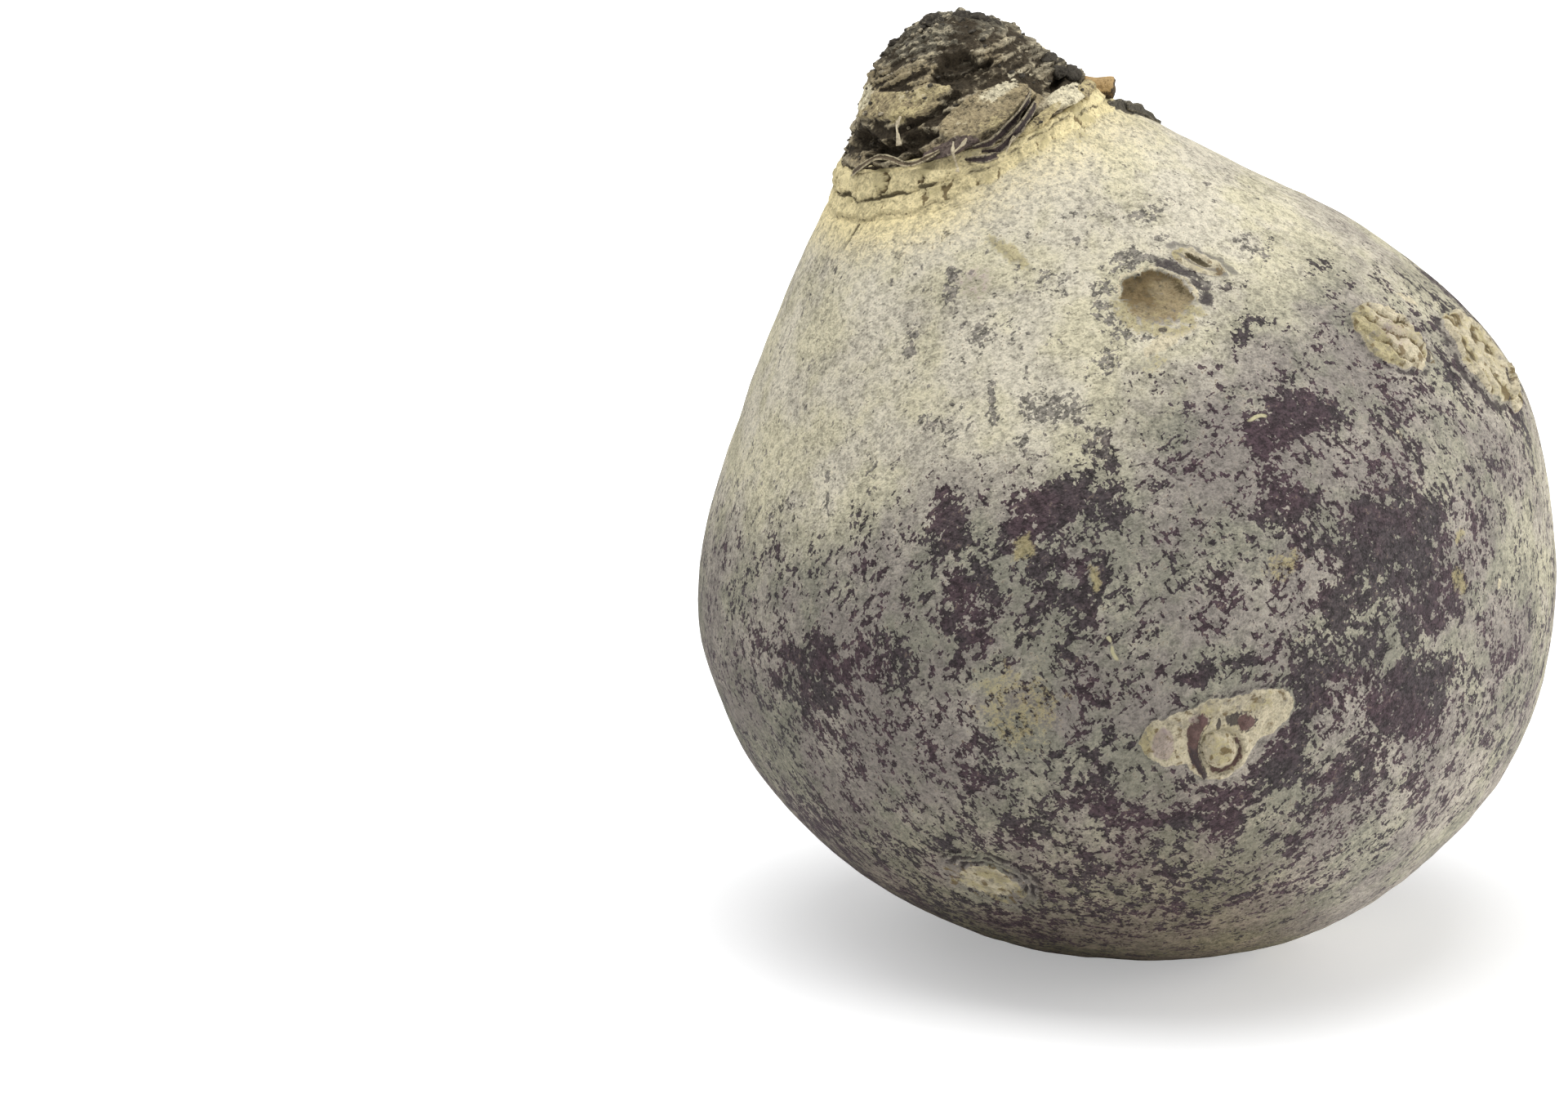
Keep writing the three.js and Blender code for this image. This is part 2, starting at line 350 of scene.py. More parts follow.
def smooth_scar(canvas, height, turn, wide, long, tilt):
    """A long flat swath of cream cork with creases and brown streaks along it, and a torn dark edge."""
    patch = Patch(canvas, height, turn, 0.75 * max(wide, long), tilt)
    ragged = 0.2 * patch.ruffle(2.6, turn) + 0.1 * patch.ruffle(0.8, height)
    out = np.hypot(patch.across / (wide / 2), patch.along / (long / 2)) + ragged
    inside = smooth(1.05, 0.92, out)
    wander = patch.ruffle(3.0, turn) + 0.25 * patch.ruffle(0.9, height)
    streaks = np.sin(2 * math.pi * (patch.across / 4.2 + 0.8 * wander))
    patch.clear_all(inside)
    patch.lift((0.25 + 0.3 * ridge(out, 0.8, 0.25) + 0.35 * smooth(0.6, -0.3, streaks)) * inside)
    patch.cover("cork", inside)
    mottle(patch, inside, 0.8)
    broken = smooth(-0.4, 0.0, patch.ruffle(1.8, 6))
    patch.cover("ochre", 0.8 * smooth(0.0, 0.6, streaks) * inside)
    patch.cover("brown", 0.9 * smooth(0.5, 0.85, streaks) * inside)
    patch.cover("crack", 0.8 * smooth(0.86, 0.97, streaks) * inside * broken)
    patch.cover("dark", ridge(out, 1.13, 0.13) * broken)
    patch.cover("rubbed", 0.7 * ridge(out, 1.25, 0.3) * broken)


def sunken_rings(canvas, height, turn, radius, open_to):
    """A wide flat scar: an olive middle, and torn dark and pale rings on the side that it is open to."""
    patch = Patch(canvas, height, turn, 1.5 * radius)
    ragged = patch.ruffle(2.4, turn) + 0.45 * patch.ruffle(0.8, height)
    out = np.hypot(patch.across, patch.along * 1.12) / radius + 0.14 * ragged
    toward = np.arctan2(patch.along, patch.across)
    facing = smooth(-0.35, 0.35, np.cos(toward - math.radians(open_to)))
    patch.clear_all(smooth(1.05, 0.9, out) * (0.5 + 0.5 * facing))
    patch.lift(-0.6 * hump(out / 1.1) + 0.3 * hump(out / 0.5))
    patch.cover("cork", 0.6 * smooth(0.72, 0.5, out))
    patch.cover("ochre", 0.8 * smooth(0.8, 0.25, out) * smooth(-0.4, 0.2, patch.ruffle(1.2, 18)))
    mottle(patch, smooth(0.95, 0.7, out))
    broken = smooth(-0.5, -0.1, patch.ruffle(1.7, 8))
    for middle, width in ((0.68, 0.07), (0.86, 0.075), (1.03, 0.06)):
        patch.lift(-0.3 * facing * ridge(out, middle, width) + 0.2 * facing * ridge(out, middle - 0.09, 0.07))
        patch.cover("dark", 1.1 * facing * broken * ridge(out, middle, width))
        patch.cover("cork", 0.45 * facing * ridge(out, middle - 0.09, 0.06))


# %% The wide scar at the front, with its knobs
SCAR_TOP = [(-8.6, 0.6), (-7.2, 3.0), (-3.6, 4.2), (-1.3, 5.3), (3.1, 5.9), (5.8, 6.3), (7.4, 5.7),
            (8.4, 4.2)]
SCAR_FOOT = [(-8.6, 0.6), (-7.1, -1.2), (-5.4, -2.1), (-3.4, -1.9), (-1.6, -3.7), (0.4, -3.9), (2.6, -2.1),
             (3.9, 0), (5.8, 1.2), (7.4, 2.6), (8.4, 4.2)]


def knobbed_scar(canvas, height, turn):
    """A long cream scar, level although the root leans, with a knob held in a dark red fold."""
    patch = Patch(canvas, height, turn, 14, tilt=-math.degrees(LEAN_LEFT))
    across, along = patch.across, patch.along / 1.05
    broad, fine = patch.ruffle(1.7, 1), patch.ruffle(0.6, 2)
    top, foot = np.interp(across, *zip(*SCAR_TOP)), np.interp(across, *zip(*SCAR_FOOT))
    beyond = np.maximum(0, np.maximum(-8.4 - across, across - 8.2))
    edge = np.minimum(top - along, along - foot) + 0.45 * broad + 0.2 * fine - beyond
    inside = smooth(0.0, 0.3, edge)
    upper_half = smooth(-0.5, 0.5, along - foot - 0.55 * (top - foot))
    patch.clear_all(smooth(-0.8, 0.1, edge))
    patch.lift(0.28 * inside + 0.1 * broad * inside)
    patch.cover("cork", inside)
    mottle(patch, inside * (0.7 + 0.3 * upper_half))
    greyed = smooth(1.6, 0.6, edge) * smooth(4.5, 2.5, np.abs(across - 0.5))
    patch.cover("halo", 0.7 * inside * upper_half * greyed * smooth(-0.6, 0.3, fine + 0.6 * broad))
    patch.cover("dark", 0.9 * ridge(edge + 0.15 * broad, -0.1, 0.17) * upper_half * smooth(-0.9, -0.3, fine))
    patch.cover("ochre", 0.9 * inside * smooth(-6.6, -7.4, across))
    nodule = np.hypot((across + 5.8) / 1.3, (along - 0.5) / 2.1) + 0.1 * fine
    patch.lift(0.4 * hump(nodule))
    patch.cover("tint", smooth(1.0, 0.75, nodule))
    specks = smooth(0.8, 0.5, nodule) * smooth(0.25, 0.5, fine)
    patch.cover("crack", 0.8 * specks + 0.3 * ridge(nodule, 1.1, 0.12))
    knob = np.hypot((across - 0.1) / 1.75, (along + 0.2) / 1.95) + 0.12 * broad + 0.05 * fine
    around_knob = np.cos(np.arctan2(along, across) + 0.7)
    patch.clear("halo", smooth(1.1, 0.9, knob))
    patch.lift(0.8 * smooth(1.05, 0.55, knob) - 0.4 * ridge(knob, 1.17, 0.16))
    patch.lift(0.3 * ridge(knob, 1.55, 0.25) * smooth(0, 0.4, around_knob))
    patch.cover("ochre", 0.7 * smooth(1.0, 0.5, knob))
    patch.cover("brown", 0.95 * smooth(0.95, 0.6, knob) * smooth(0.0, 0.3, patch.ruffle(0.75, 16)))
    below_right = smooth(0.2, 0.5, around_knob) * smooth(-0.7, -0.2, fine)
    patch.cover("flesh", 1.1 * ridge(knob, 1.2, 0.17) * below_right)
    patch.cover("crack", 0.6 * ridge(knob, 1.08, 0.1))
    fold_middle = np.interp(along, (-3.2, -0.9, 1.8, 3.4), (-1.5, -2.6, -2.65, -2.1)) + 0.3 * broad
    fold_wide = np.interp(along, (-3.6, -3.2, -0.9, 1.8, 3.3, 3.9), (0, 0.4, 0.5, 0.75, 1.05, 0))
    fold = np.abs(across - fold_middle) / np.maximum(fold_wide, 0.01) + 0.2 * fine
    patch.lift(0.4 * hump(fold))
    patch.cover("flesh", smooth(1.1, 0.8, fold))
    patch.cover("dark", 0.75 * smooth(1.0, 0.7, fold) * smooth(0.8, -0.4, along))
    patch.cover("tint", smooth(2.4, 3.2, along) * smooth(1.3, 1.0, fold))
    patch.clear("flesh", 0.7 * smooth(2.5, 3.2, along) * smooth(-2.0, -2.9, across))
    # Painted shadow: a dark band along the right edge of the fold.
    patch.cover("dark", 0.8 * ridge(across - fold_middle - fold_wide, 0.12, 0.2) * (fold_wide > 0.1))
    dot = np.hypot(across - 2.8, along - 2.7) / 0.95 + 0.1 * fine
    patch.lift(0.4 * hump(dot))
    patch.cover("flesh", smooth(1.1, 0.8, dot))
    shadow = np.hypot((across - 1.4) / 1.0, (along - 3.1) / 0.75) + 0.25 * fine
    patch.cover("dark", smooth(1.1, 0.8, shadow) * smooth(0.9, 1.2, dot) + 0.8 * ridge(dot, 1.12, 0.15))
    patch.cover("dark", smooth(1.1, 0.7, np.hypot((across + 0.1) / 0.3, (along - 2.6) / 0.8) + 0.2 * fine))


# %% Scratches and chips
def scratch(canvas, places, width, name, lift):
    """A line over the skin from place to place, each a height and a turn, that wanders a little."""
    line = [spot_on(*place)[0] for place in places]
    for start, end in zip(line, line[1:]):
        middle, reach = (start + end) / 2, np.linalg.norm(end - start) / 2 + 4 * width
        near = np.nonzero(((canvas.points - middle) ** 2).sum(1) < reach**2)[0]
        points = canvas.points[near]
        along = np.clip((points - start) @ (end - start) / ((end - start) ** 2).sum(), 0, 1)
        shift = 0.5 * ruffle(points, 2.5, 3) + 0.2 * ruffle(points, 0.8, 4)
        foot = start + along[:, None] * (end - start)
        away = np.abs(np.linalg.norm(points - foot, axis=1) + shift * width)
        share = smooth(width, 0.35 * width, away)
        mask = canvas.masks[name]
        mask[near] = np.maximum(mask[near], share)
        canvas.relief[near] += lift * share


def chip(canvas, height, turn, across, along, name, tilt, strength, lift):
    """A ragged oval spot, measured in millimetres across and along."""
    patch = Patch(canvas, height, turn, 1.6 * max(across, along), tilt)
    ragged = patch.ruffle(1.2, turn) + 0.6 * patch.ruffle(0.45, height)
    out = np.hypot(patch.across / across, patch.along / along) + 0.45 * ragged
    patch.cover(name, strength * smooth(1.25, 0.6, out))
    patch.lift(lift * smooth(1.1, 0.7, out))


# %% [markdown]
# ## Laying out the skin
#
# Cork on a beetroot starts at the crown and spreads down as it ages, so the shoulders are cream and thick
# with it, and the belly is a thin grey coat. Where roots rubbed against each other the coat has
# gone and the aubergine skin shows. The patches named here are those on the front. The sides that face away
# get patches of the same kinds from a seeded random choice, so that no side is left bare.

# %% Make the canvas of the skin
SKIN_MASKS = ("cream", "rubbed", "painted_shade", "cork", "crack", "floor", "brown", "dark", "halo", "flesh", "ochre",
              "collar", "tint")
FRONT_SPOTS = [(81, 26.5), (82.2, 39.5), (67.8, 57.3), (63.5, 80), (60, 71.5), (55.3, 77), (39, 3),
               (39.5, 12), (26.5, -35)]
FAR_SPOTS = [(42, 150), (60, -118), (74, -155), (30, -140), (78, 110)]
refine(skin_shape, FRONT_SPOTS + FAR_SPOTS, 8)
refine(skin_shape, FRONT_SPOTS, 5.6)
skin_shape.normal_update()
print("skin after refining:", sum(len(face.verts) - 2 for face in skin_shape.faces), "triangles")
skin = Canvas(skin_shape, SKIN_MASKS)

# %% Cream shoulders and rubbed patches
RUBBED = [  # turn, height, half-width and half-height in mm, strength
    (-21.5, 67.5, 2.6, 4.2, 1.0), (-20, 60, 3.2, 7, 0.8), (-4, 66.3, 6.6, 3.6, 1.05), (-6.5, 58, 4, 6, 0.75),
    (30, 66, 6.4, 3.5, 1.0), (24.5, 59, 3, 5, 0.85), (36, 51, 9, 5.6, 1.0), (29, 49, 3.5, 3.5, 0.9),
    (27, 41, 4.5, 6, 0.75), (41, 43, 4.8, 4.4, 0.9), (34, 33.5, 6.5, 4.2, 1.08), (22, 28, 4.8, 3.6, 0.9),
    (4, 31, 4.8, 3.6, 0.85), (-8, 32, 2.6, 4, 0.75), (-25, 40, 3, 3, 0.65), (73, 52.5, 2.6, 3.4, 0.85),
    (63.5, 62, 1.6, 2.6, 0.75), (45, 60, 4.5, 4, 0.6), (-7, 47, 2.2, 5, 0.6), (12, 24, 3.4, 4, 0.6),
    (-2, 18, 2.4, 4.5, 0.5), (-33, 55, 4, 6, 0.6), (52, 47, 3, 6, 0.6), (12, 55, 4, 5, 0.45),
    (55, 30, 5, 5, 0.5), (-11.5, 77.5, 1, 2, 0.8), (-0.5, 76, 2.2, 3, 0.62), (3, 71.6, 1.6, 1.6, 0.7),
    (5.6, 70, 0.8, 1.8, 1.0), (-7.5, 72.6, 1.6, 1.2, 0.7), (-9.6, 83.5, 2, 0.9, 0.7),
    (-14, 88, 0.7, 2.4, 0.75), (11.8, 77.3, 2, 1.5, 0.5), (21, 43, 2, 2.4, 0.9),
    (17.5, 36.5, 1.6, 2.4, 0.9), (6, 33.4, 2.4, 1.4, 0.9),
    (14, 33.4, 3, 2.2, 1.0), (19.5, 40.4, 1.8, 3, 1.0), (9, 46.5, 4.5, 1.3, 0.9), (-24, 84, 0.8, 2.4, 0.7),
    (-22, 77, 2.4, 1.4, 0.55), (8, 86, 1.6, 2.4, 0.5), (54, 81, 2.6, 1.6, 0.55), (61, 76, 3, 1.6, 0.5),
    (-11.5, 36, 3, 3, 0.75), (-24, 34, 3.6, 2.6, 0.75), (-18, 27, 5, 2.4, 0.6), (34, 24, 3, 3.4, 0.6),
]
FAR_RANGES = [(85, 325), (18, 70), (4, 9), (3, 7), (0.45, 1.0)]  # the same five, for the sides that face away
chance = random.Random(7)
for step in range(26):
    RUBBED.append(tuple(chance.uniform(*span) for span in FAR_RANGES))

facing_right = np.sin(np.radians(skin.turn))
broad = skin.ruffle(16, 1)
cream_edge = 72 + 4 * facing_right + 5 * broad
skin.masks["cream"] = smooth(cream_edge - 9, cream_edge + 9, skin.height)
to_the_right = smooth(50, 80, skin.turn) * smooth(130, 100, skin.turn)
skin.masks["cream"] = np.maximum(skin.masks["cream"], 0.5 * to_the_right * smooth(6, 16, skin.height))
low_right = smooth(34, 16, skin.height) * smooth(0, 35, skin.turn) * smooth(130, 90, skin.turn)
skin.masks["cream"] = np.maximum(skin.masks["cream"], 0.12 * low_right)
level = 0.04 + 0.3 * smooth(80, 64, skin.height) + 0.1 * broad + 0.16 * skin.ruffle(5, 19)
# The second term below paints shade low on the left side by raising the dark rubbed skin there.
level += 0.1 * smooth(42, 24, skin.height) + 0.14 * smooth(45, 20, skin.height) * smooth(10, -30, skin.turn)
level -= 0.26 * smooth(20, 11, skin.height)
level *= 1 - 0.1 * to_the_right
torn = skin.points + 2.6 * np.stack([skin.ruffle(5.5, seed) for seed in (51, 52, 53)], 1)
for turn, height, wide, high, strength in RUBBED:
    centre, right, upwards = spot_on(height, turn)
    offset = torn - centre
    out = np.hypot(offset @ right / wide, offset @ upwards / high)
    level = np.maximum(level, 1.04 * strength * smooth(1.95, 0.35, out) * (np.abs(offset).max(1) < 20))
skin.masks["rubbed"] = np.clip(level, 0, 1.2)
print("mean of the rubbed mask:", round(float(skin.masks["rubbed"].mean()), 3))

# %% Painted shade towards the bottom, then stains, scratches and chips at the front
# Painted shade: the coat is to be darkened towards the bottom, except from the front round to the right side.
unshaded_side = smooth(-8, 25, skin.turn) * smooth(150, 110, skin.turn)
skin.masks["painted_shade"] = smooth(46, 8, skin.height) * (1 - unshaded_side)


def collar_paint(canvas):
    """How far the yellow of the neck reaches down, which is further on the left side."""
    to_the_left = np.clip(smooth(12, -25, canvas.turn) + smooth(120, 160, canvas.turn), 0, 1)
    return smooth(88 + 3 * canvas.ruffle(16, 1), 98, canvas.height) * (0.45 + 0.55 * to_the_left)


skin.masks["collar"] = collar_paint(skin)
STAINS = {  # for each mask: height, turn, across and along in mm, tilt, strength
    "ochre": [(47.7, -17, 5, 5.2, 0, 0.5), (54, 21.5, 2.2, 1.6, 0, 0.6), (89.6, 3, 0.8, 3.4, 30, 0.9),
              (63.8, -10.5, 1.3, 1.2, 0, 1.2), (59.4, -2, 0.65, 1.7, 0, 1.2), (43, 46.5, 0.8, 2.4, 18, 1),
              (47.5, 48, 0.9, 0.9, 0, 1), (76.2, 18, 2, 0.7, 0, 0.5)],
    "rubbed": [(88.2, 42.5, 3.4, 1.6, 0, 0.5), (85.6, 26.5, 2, 0.9, 0, 0.75),
               (85.6, 38.5, 1.3, 0.6, -15, 0.75), (79.3, 39.5, 1.2, 0.8, 0, 0.6),
               (73.4, 60.5, 1.4, 0.6, 0, 0.6), (75.2, 36, 2.4, 1, 12, 0.9)],
    "cork": [(39.8, 54.5, 0.35, 0.35, 0, 1), (69.3, 69, 0.55, 1.5, 28, 1), (60, 46, 0.6, 1.6, 0, 0.5),
             (77.3, 22, 4.2, 1, 6, 0.6)],
    "tint": [(88, -8, 2.6, 2.2, 0, 0.5)],
    "dark": [(78.4, 23.2, 0.6, 0.4, 0, 0.7)],
}
for name, spots in STAINS.items():
    for height, turn, across, along, tilt, strength in spots:
        chip(skin, height, turn, across, along, name, tilt, strength, lift=0.12 if name == "cork" else 0)
scratch(skin, [(92.8, -56.5), (94.0, -54), (95.5, -51)], 0.4, "crack", lift=-0.3)
print("stains and chips:", {name: len(spots) for name, spots in STAINS.items()})

# %% The scars themselves
SCARS = [  # kind, height, turn, sizes in mm (a pit's depth last), tilt or the side that it is open to
    (pit, 81.1, 26.4, 4.0, 3.8, 0.9), (slit, 82.2, 39.6, 5.8, 3.1, -64),
    (folded_scar, 67.8, 57.3, 8.0, 9.3, 25), (smooth_scar, 60.4, 74.2, 11.0, 12.0, -36),
    (smooth_scar, 55.3, 77.0, 3.4, 9.5, -74),
    (knobbed_scar, 37.8, 6.3), (sunken_rings, 26.5, -35, 5.9, 45),
    (pit, 42, 150, 4.2, 3.6, 0.8), (folded_scar, 60, -118, 5.0, 6.6, -30), (sunken_rings, 74, -155, 4.6, 120),
    (folded_scar, 30, -140, 4.6, 6.2, 50), (slit, 78, 110, 5.0, 2.8, 15),
]
for kind, *measures in SCARS:
    kind(skin, *measures)
print("scars:", len(SCARS))

# %% Gentle unevenness everywhere, then stand the skin up
def piece_from(shape, canvas, name):
    """A finished object from an upright bmesh and its canvas, leaning as the root does, in metres."""
    moved = canvas.points + canvas.normals * canvas.relief[:, None]
    for vert, point in zip(shape.verts, stand_up(moved)):
        vert.co = point
    mesh = bpy.data.meshes.new(name)
    shape.to_mesh(mesh)
    shape.free()
    mesh.polygons.foreach_set("use_smooth", [True] * len(mesh.polygons))
    for mask, values in canvas.masks.items():
        attribute = mesh.attributes.new(mask, "FLOAT", "POINT")
        attribute.data.foreach_set("value", np.clip(values, 0, 1).astype(np.float32))
    piece = bpy.data.objects.new(name, mesh)
    bpy.context.scene.collection.objects.link(piece)
    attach(piece, "root")
    return piece


def unevenness(canvas):
    """Broad lumps and small ones, which the ring of the collar shares with the skin that it lies in."""
    angle, climb = np.radians(canvas.turn), math.pi * canvas.height / NECK_AT
    broad = LUMP * (np.sin(2 * angle) * np.sin(climb) + 0.6 * np.cos(3 * angle) * np.sin(2 * climb))
    small = 0.25 * canvas.ruffle(12, 21) + 0.1 * canvas.ruffle(5, 22)
    return broad + small + 0.05 * canvas.ruffle(1.8, 23)


skin.relief += unevenness(skin)
skin.relief -= 0.7 * smooth(94.6, 96.2, skin.height)
skin.relief += 0.16 * smooth(22, 8, skin.height) * ruffle(skin.points * (1, 1, 4), 5, 24)
body = piece_from(skin_shape, skin, "corky_skin")
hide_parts("beetroot")
print("corky_skin spans", [round(1000 * side, 1) for side in body.dimensions], "mm")

# %% [markdown]
# ## The broken collar
#
# Round the neck the cork is thick and has cracked into plates as the crown shrank. The plates are too fine
# for the faces of the skin, so the collar is a ring of its own: a narrow band spun from a closed profile that
# lies just under the skin. Only where a plate is raised does it break through, which gives it a crisp edge.

# %% Spin the ring
NECK_LOW, NECK_HIGH = 93.6, 99.9
NECK_STEP = 0.16
NECK_TAPER = 0.615  # how much the radius shrinks for each millimetre above the body's outline
BARK_LIP = 14.1  # the radius inside which the bark hides the ring
lower = [(np.interp(height, outline[:, 2], outline[:, 0]), 0, height)
         for height in np.arange(NECK_LOW, NECK_AT, NECK_STEP)]
upper = [(SHOULDER[-1][0] - NECK_TAPER * (height - NECK_AT), 0, height)
         for height in np.arange(NECK_AT, NECK_HIGH, NECK_STEP)]
inner_side = [(13.2, 0, 100.1), (12.6, 0, 99.5), (12.8, 0, 98), (14, 0, 94.5)]
neck_shape = spun([Vector(point) for point in lower + upper + inner_side + lower[:1]], 500)
neck = Canvas(neck_shape, SKIN_MASKS)
print("ring of the collar:", 2 * len(neck_shape.faces), "triangles")

# %% Raise rows of plates on it
LEDGE = (  # turn, and the heights between which the thickest row of plates lies
    (-180, 97.2, 99.6), (-78, 97.3, 99.6), (-37, 97.1, 99.5), (-24, 97.3, 99.3), (-12, 97.5, 98.7),
    (-5, 97.7, 98.5), (4, 97.6, 98.3), (11, 97.9, 98.7), (20, 98.5, 99.2), (37, 99.0, 99.7), (48, 99.0, 99.8),
    (57, 98.6, 99.8), (80, 98.0, 99.6), (110, 97.2, 99.6), (180, 97.2, 99.6),
)
FRONT_CRACKS = [  # turn and half-width in mm
    (-73, 0.08), (-57, 0.04), (-41.5, 0.3), (-24, 0.1), (-11, 0.08), (13, 0.05), (44, 0.06), (62, 0.12),
    (69, 0.06),
]


def row_of_plates(canvas, low, high, cracks, thickness, seed):
    """One row of cork plates round the neck, parted by upright cracks, each lying a little differently."""
    draw = random.Random(seed)
    places, widths = np.array(sorted(cracks)).T
    wander = canvas.turn + 5 * canvas.ruffle(1.5, seed) + 2 * canvas.ruffle(0.5, seed + 1)
    away = 0.27 * np.abs(wander[:, None] - places)
    gap = smooth(0.5, -0.5, (away - widths) / 0.16).max(1) * smooth(-0.5, 0.1, canvas.ruffle(1.3, seed + 5))
    lies = np.array([draw.uniform(0.55, 1.0) for _ in range(len(places) + 1)])
    lie = lies[np.searchsorted(places, wander)]
    ragged = 0.55 * canvas.ruffle(2.4, seed + 2) + 0.2 * canvas.ruffle(0.6, seed + 3)
    over_foot, under_top = canvas.height - low - ragged - 0.5 * (1 - lie), high - canvas.height + 0.4 * ragged
    inside = smooth(-0.1, 0.14, over_foot) * smooth(-0.1, 0.15, under_top)
    canvas.relief = np.maximum(canvas.relief, thickness * lie * inside * (1 - gap))
    # A painted shadow under the lower edge of the row, which goes into the crack mask.
    shadow = ridge(over_foot, -0.08, 0.2) * smooth(-0.45, 0.1, canvas.ruffle(1.8, seed + 4)) * thickness
    amounts = {"collar": inside * (0.4 + 0.6 * lie), "brown": 1.1 * gap * inside, "crack": 1.5 * shadow}
    for name, amount in amounts.items():
        canvas.masks[name] = np.maximum(canvas.masks[name], np.clip(amount, 0, 1))


def scattered_cracks(start, end, seed):
    """Cracks at uneven distances between two turns."""
    draw, cracks = random.Random(seed), []
    while start < end:
        start += draw.uniform(9, 24)
        cracks.append((min(start, end), draw.uniform(0.08, 0.3)))
    return cracks


turns, lows, highs = np.array(LEDGE).T
ledge_low, ledge_high = np.interp(neck.turn, turns, lows), np.interp(neck.turn, turns, highs)
left_side = np.clip(smooth(0, -14, neck.turn) + smooth(110, 150, neck.turn), 0, 1)
upper_cracks = FRONT_CRACKS + scattered_cracks(75, 180, 81) + scattered_cracks(-180, -80, 82)
row_of_plates(neck, ledge_low, ledge_high, upper_cracks, 0.5 + 0.25 * left_side, 83)
row_of_plates(neck, ledge_low - 1.5, ledge_low, scattered_cracks(-180, 180, 84), 0.22 + 0.12 * left_side, 85)
neck.masks["cream"][:] = 1
neck.masks["rubbed"][:] = 0.08
neck.masks["ochre"] = 0.6 * smooth(95.6, 97, neck.height) * smooth(0.0, 0.45, neck.ruffle(2.2, 88))
neck.masks["collar"] = np.maximum(neck.masks["collar"], 0.6 * smooth(95.4, 97.6, neck.height))
neck.masks["collar"] = np.maximum(neck.masks["collar"], collar_paint(neck))
neck.relief += unevenness(neck) - 0.2 - 0.35 * smooth(95.6, 94.4, neck.height)
neck.relief += 0.1 * neck.ruffle(0.8, 89) + 0.06 * neck.ruffle(0.45, 90)
neck.relief[np.hypot(neck.points[:, 0], neck.points[:, 1]) < BARK_LIP] = 0
neck_collar = piece_from(neck_shape, neck, "neck_collar")
print("cracks between the plates of the upper row:", len(upper_cracks))

# %% [markdown]
# ## The crown
#
# Every leaf that the plant ever had left its base on the crown, in a spiral, and in store they dry to a cap
# of black and tan bark in ragged layers. The cap is a piece of its own, because it is broken up far more
# finely than the skin. It is spun as the body was, from a profile that starts inside the neck, turns out over
# it in a lip and closes at the tip. Then its relief is built up: thin layers, leaf bases, cracks and hollows.

# %% Spin the cap
CAP = [  # radius and height
    (0, 97.6), (9, 97.9), (12.8, 98.5), (14.3, 99.2), (14.8, 99.9), (14.2, 100.9), (12.6, 102.9),
    (10.8, 105.3), (7.3, 109.6), (3, 111.9), (0, 112.3),
]
CAP_STEP = 0.19
CAP_TURNS = 400  # steps once round the axis
HIDDEN = 60  # profile points on the cap's underside, of which one in twelve is enough


def smooth_line(places, spacing):
    """Evenly spaced points on a smooth line through the places."""
    spots = [Vector((radius, 0, height)) for radius, height in places]
    ahead, behind = spots[1:] + spots[-1:], spots[:1] + spots[:-1]
    pull = [(after - before) / 6 for after, before in zip(ahead, behind)]
    line = [spots[0]]
    for start, end, leave, arrive in zip(spots, spots[1:], pull, pull[1:]):
        line += interpolate_bezier(start, start + leave, end - arrive, end, 40)[1:]
    line = np.array(line)
    walked = np.concatenate([[0], np.cumsum(np.linalg.norm(np.diff(line, axis=0), axis=1))])
    stops = np.linspace(0, walked[-1], round(walked[-1] / spacing))
    return np.stack([np.interp(stops, walked, line[:, axis]) for axis in range(3)], 1)


cap_profile = smooth_line(CAP, CAP_STEP)
cap_profile = np.concatenate([cap_profile[:HIDDEN:12], cap_profile[HIDDEN:]])
cap_outline = cap_profile[cap_profile[:, 2] > 98.4]
cap_shape = spun([Vector(np.maximum(point, 0)) for point in cap_profile], CAP_TURNS)
CAP_MASKS = ("tan", "pale", "purple", "black", "ochre", "crest_wear_and_shade")
cap = Canvas(cap_shape, CAP_MASKS)
print("cap:", 2 * len(cap_shape.faces), "triangles")


# %% Thin broken layers all over it
def crumbs_of(points, size, seed):
    """Rounded lumps of about one size, 1 at the middle of each and 0 between them."""
    shift = Vector((seed, -seed, 2 * seed))
    near = np.array([noise.voronoi(Vector(point) / size + shift)[0][0] for point in points])
    return np.clip(1 - 1.6 * near**2, 0, 1)


def shelves(canvas, spacing, seed):
    """Broken layers one above the other: each stands out along its lower edge and slopes back to the next."""
    swept = 2.2 * canvas.ruffle(9, seed) + 0.3 * spacing * canvas.ruffle(2.4, seed + 1)
    level = (canvas.height + swept + 0.13 * canvas.ruffle(0.7, seed + 2)) / spacing
    layer = np.floor(level)
    where = np.concatenate([canvas.points[:, :2] / 4.5, 5.3 * layer[:, None]], 1)
    stands = smooth(-0.35, 0.2, ruffle(where, 1, seed + 3))
    share = level - layer
    return stands * smooth(0, 0.13, share) * (1 - 0.75 * share)


thick_shelves, thin_shelves = shelves(cap, 1.9, 34), shelves(cap, 0.78, 38)
lumps = crumbs_of(cap.points, 1.2, 36)
grit = crumbs_of(cap.points, 0.6, 44)
outside = smooth(98.6, 99.8, cap.height)
tip = smooth(108.5, 110.5, cap.height)
cap.relief = 0.5 * thick_shelves + (0.62 - 0.3 * tip) * thin_shelves + (0.05 + 0.4 * tip) * lumps
cap.relief = outside * (cap.relief + 0.08 * grit - 1.2)
cap.masks["black"] = tip + 0.7 * smooth(35, 75, cap.turn) * smooth(150, 110, cap.turn)
cap.masks["tan"] = 0.6 * smooth(106, 107, cap.height) * smooth(20, -20, cap.turn) * (1 - tip)


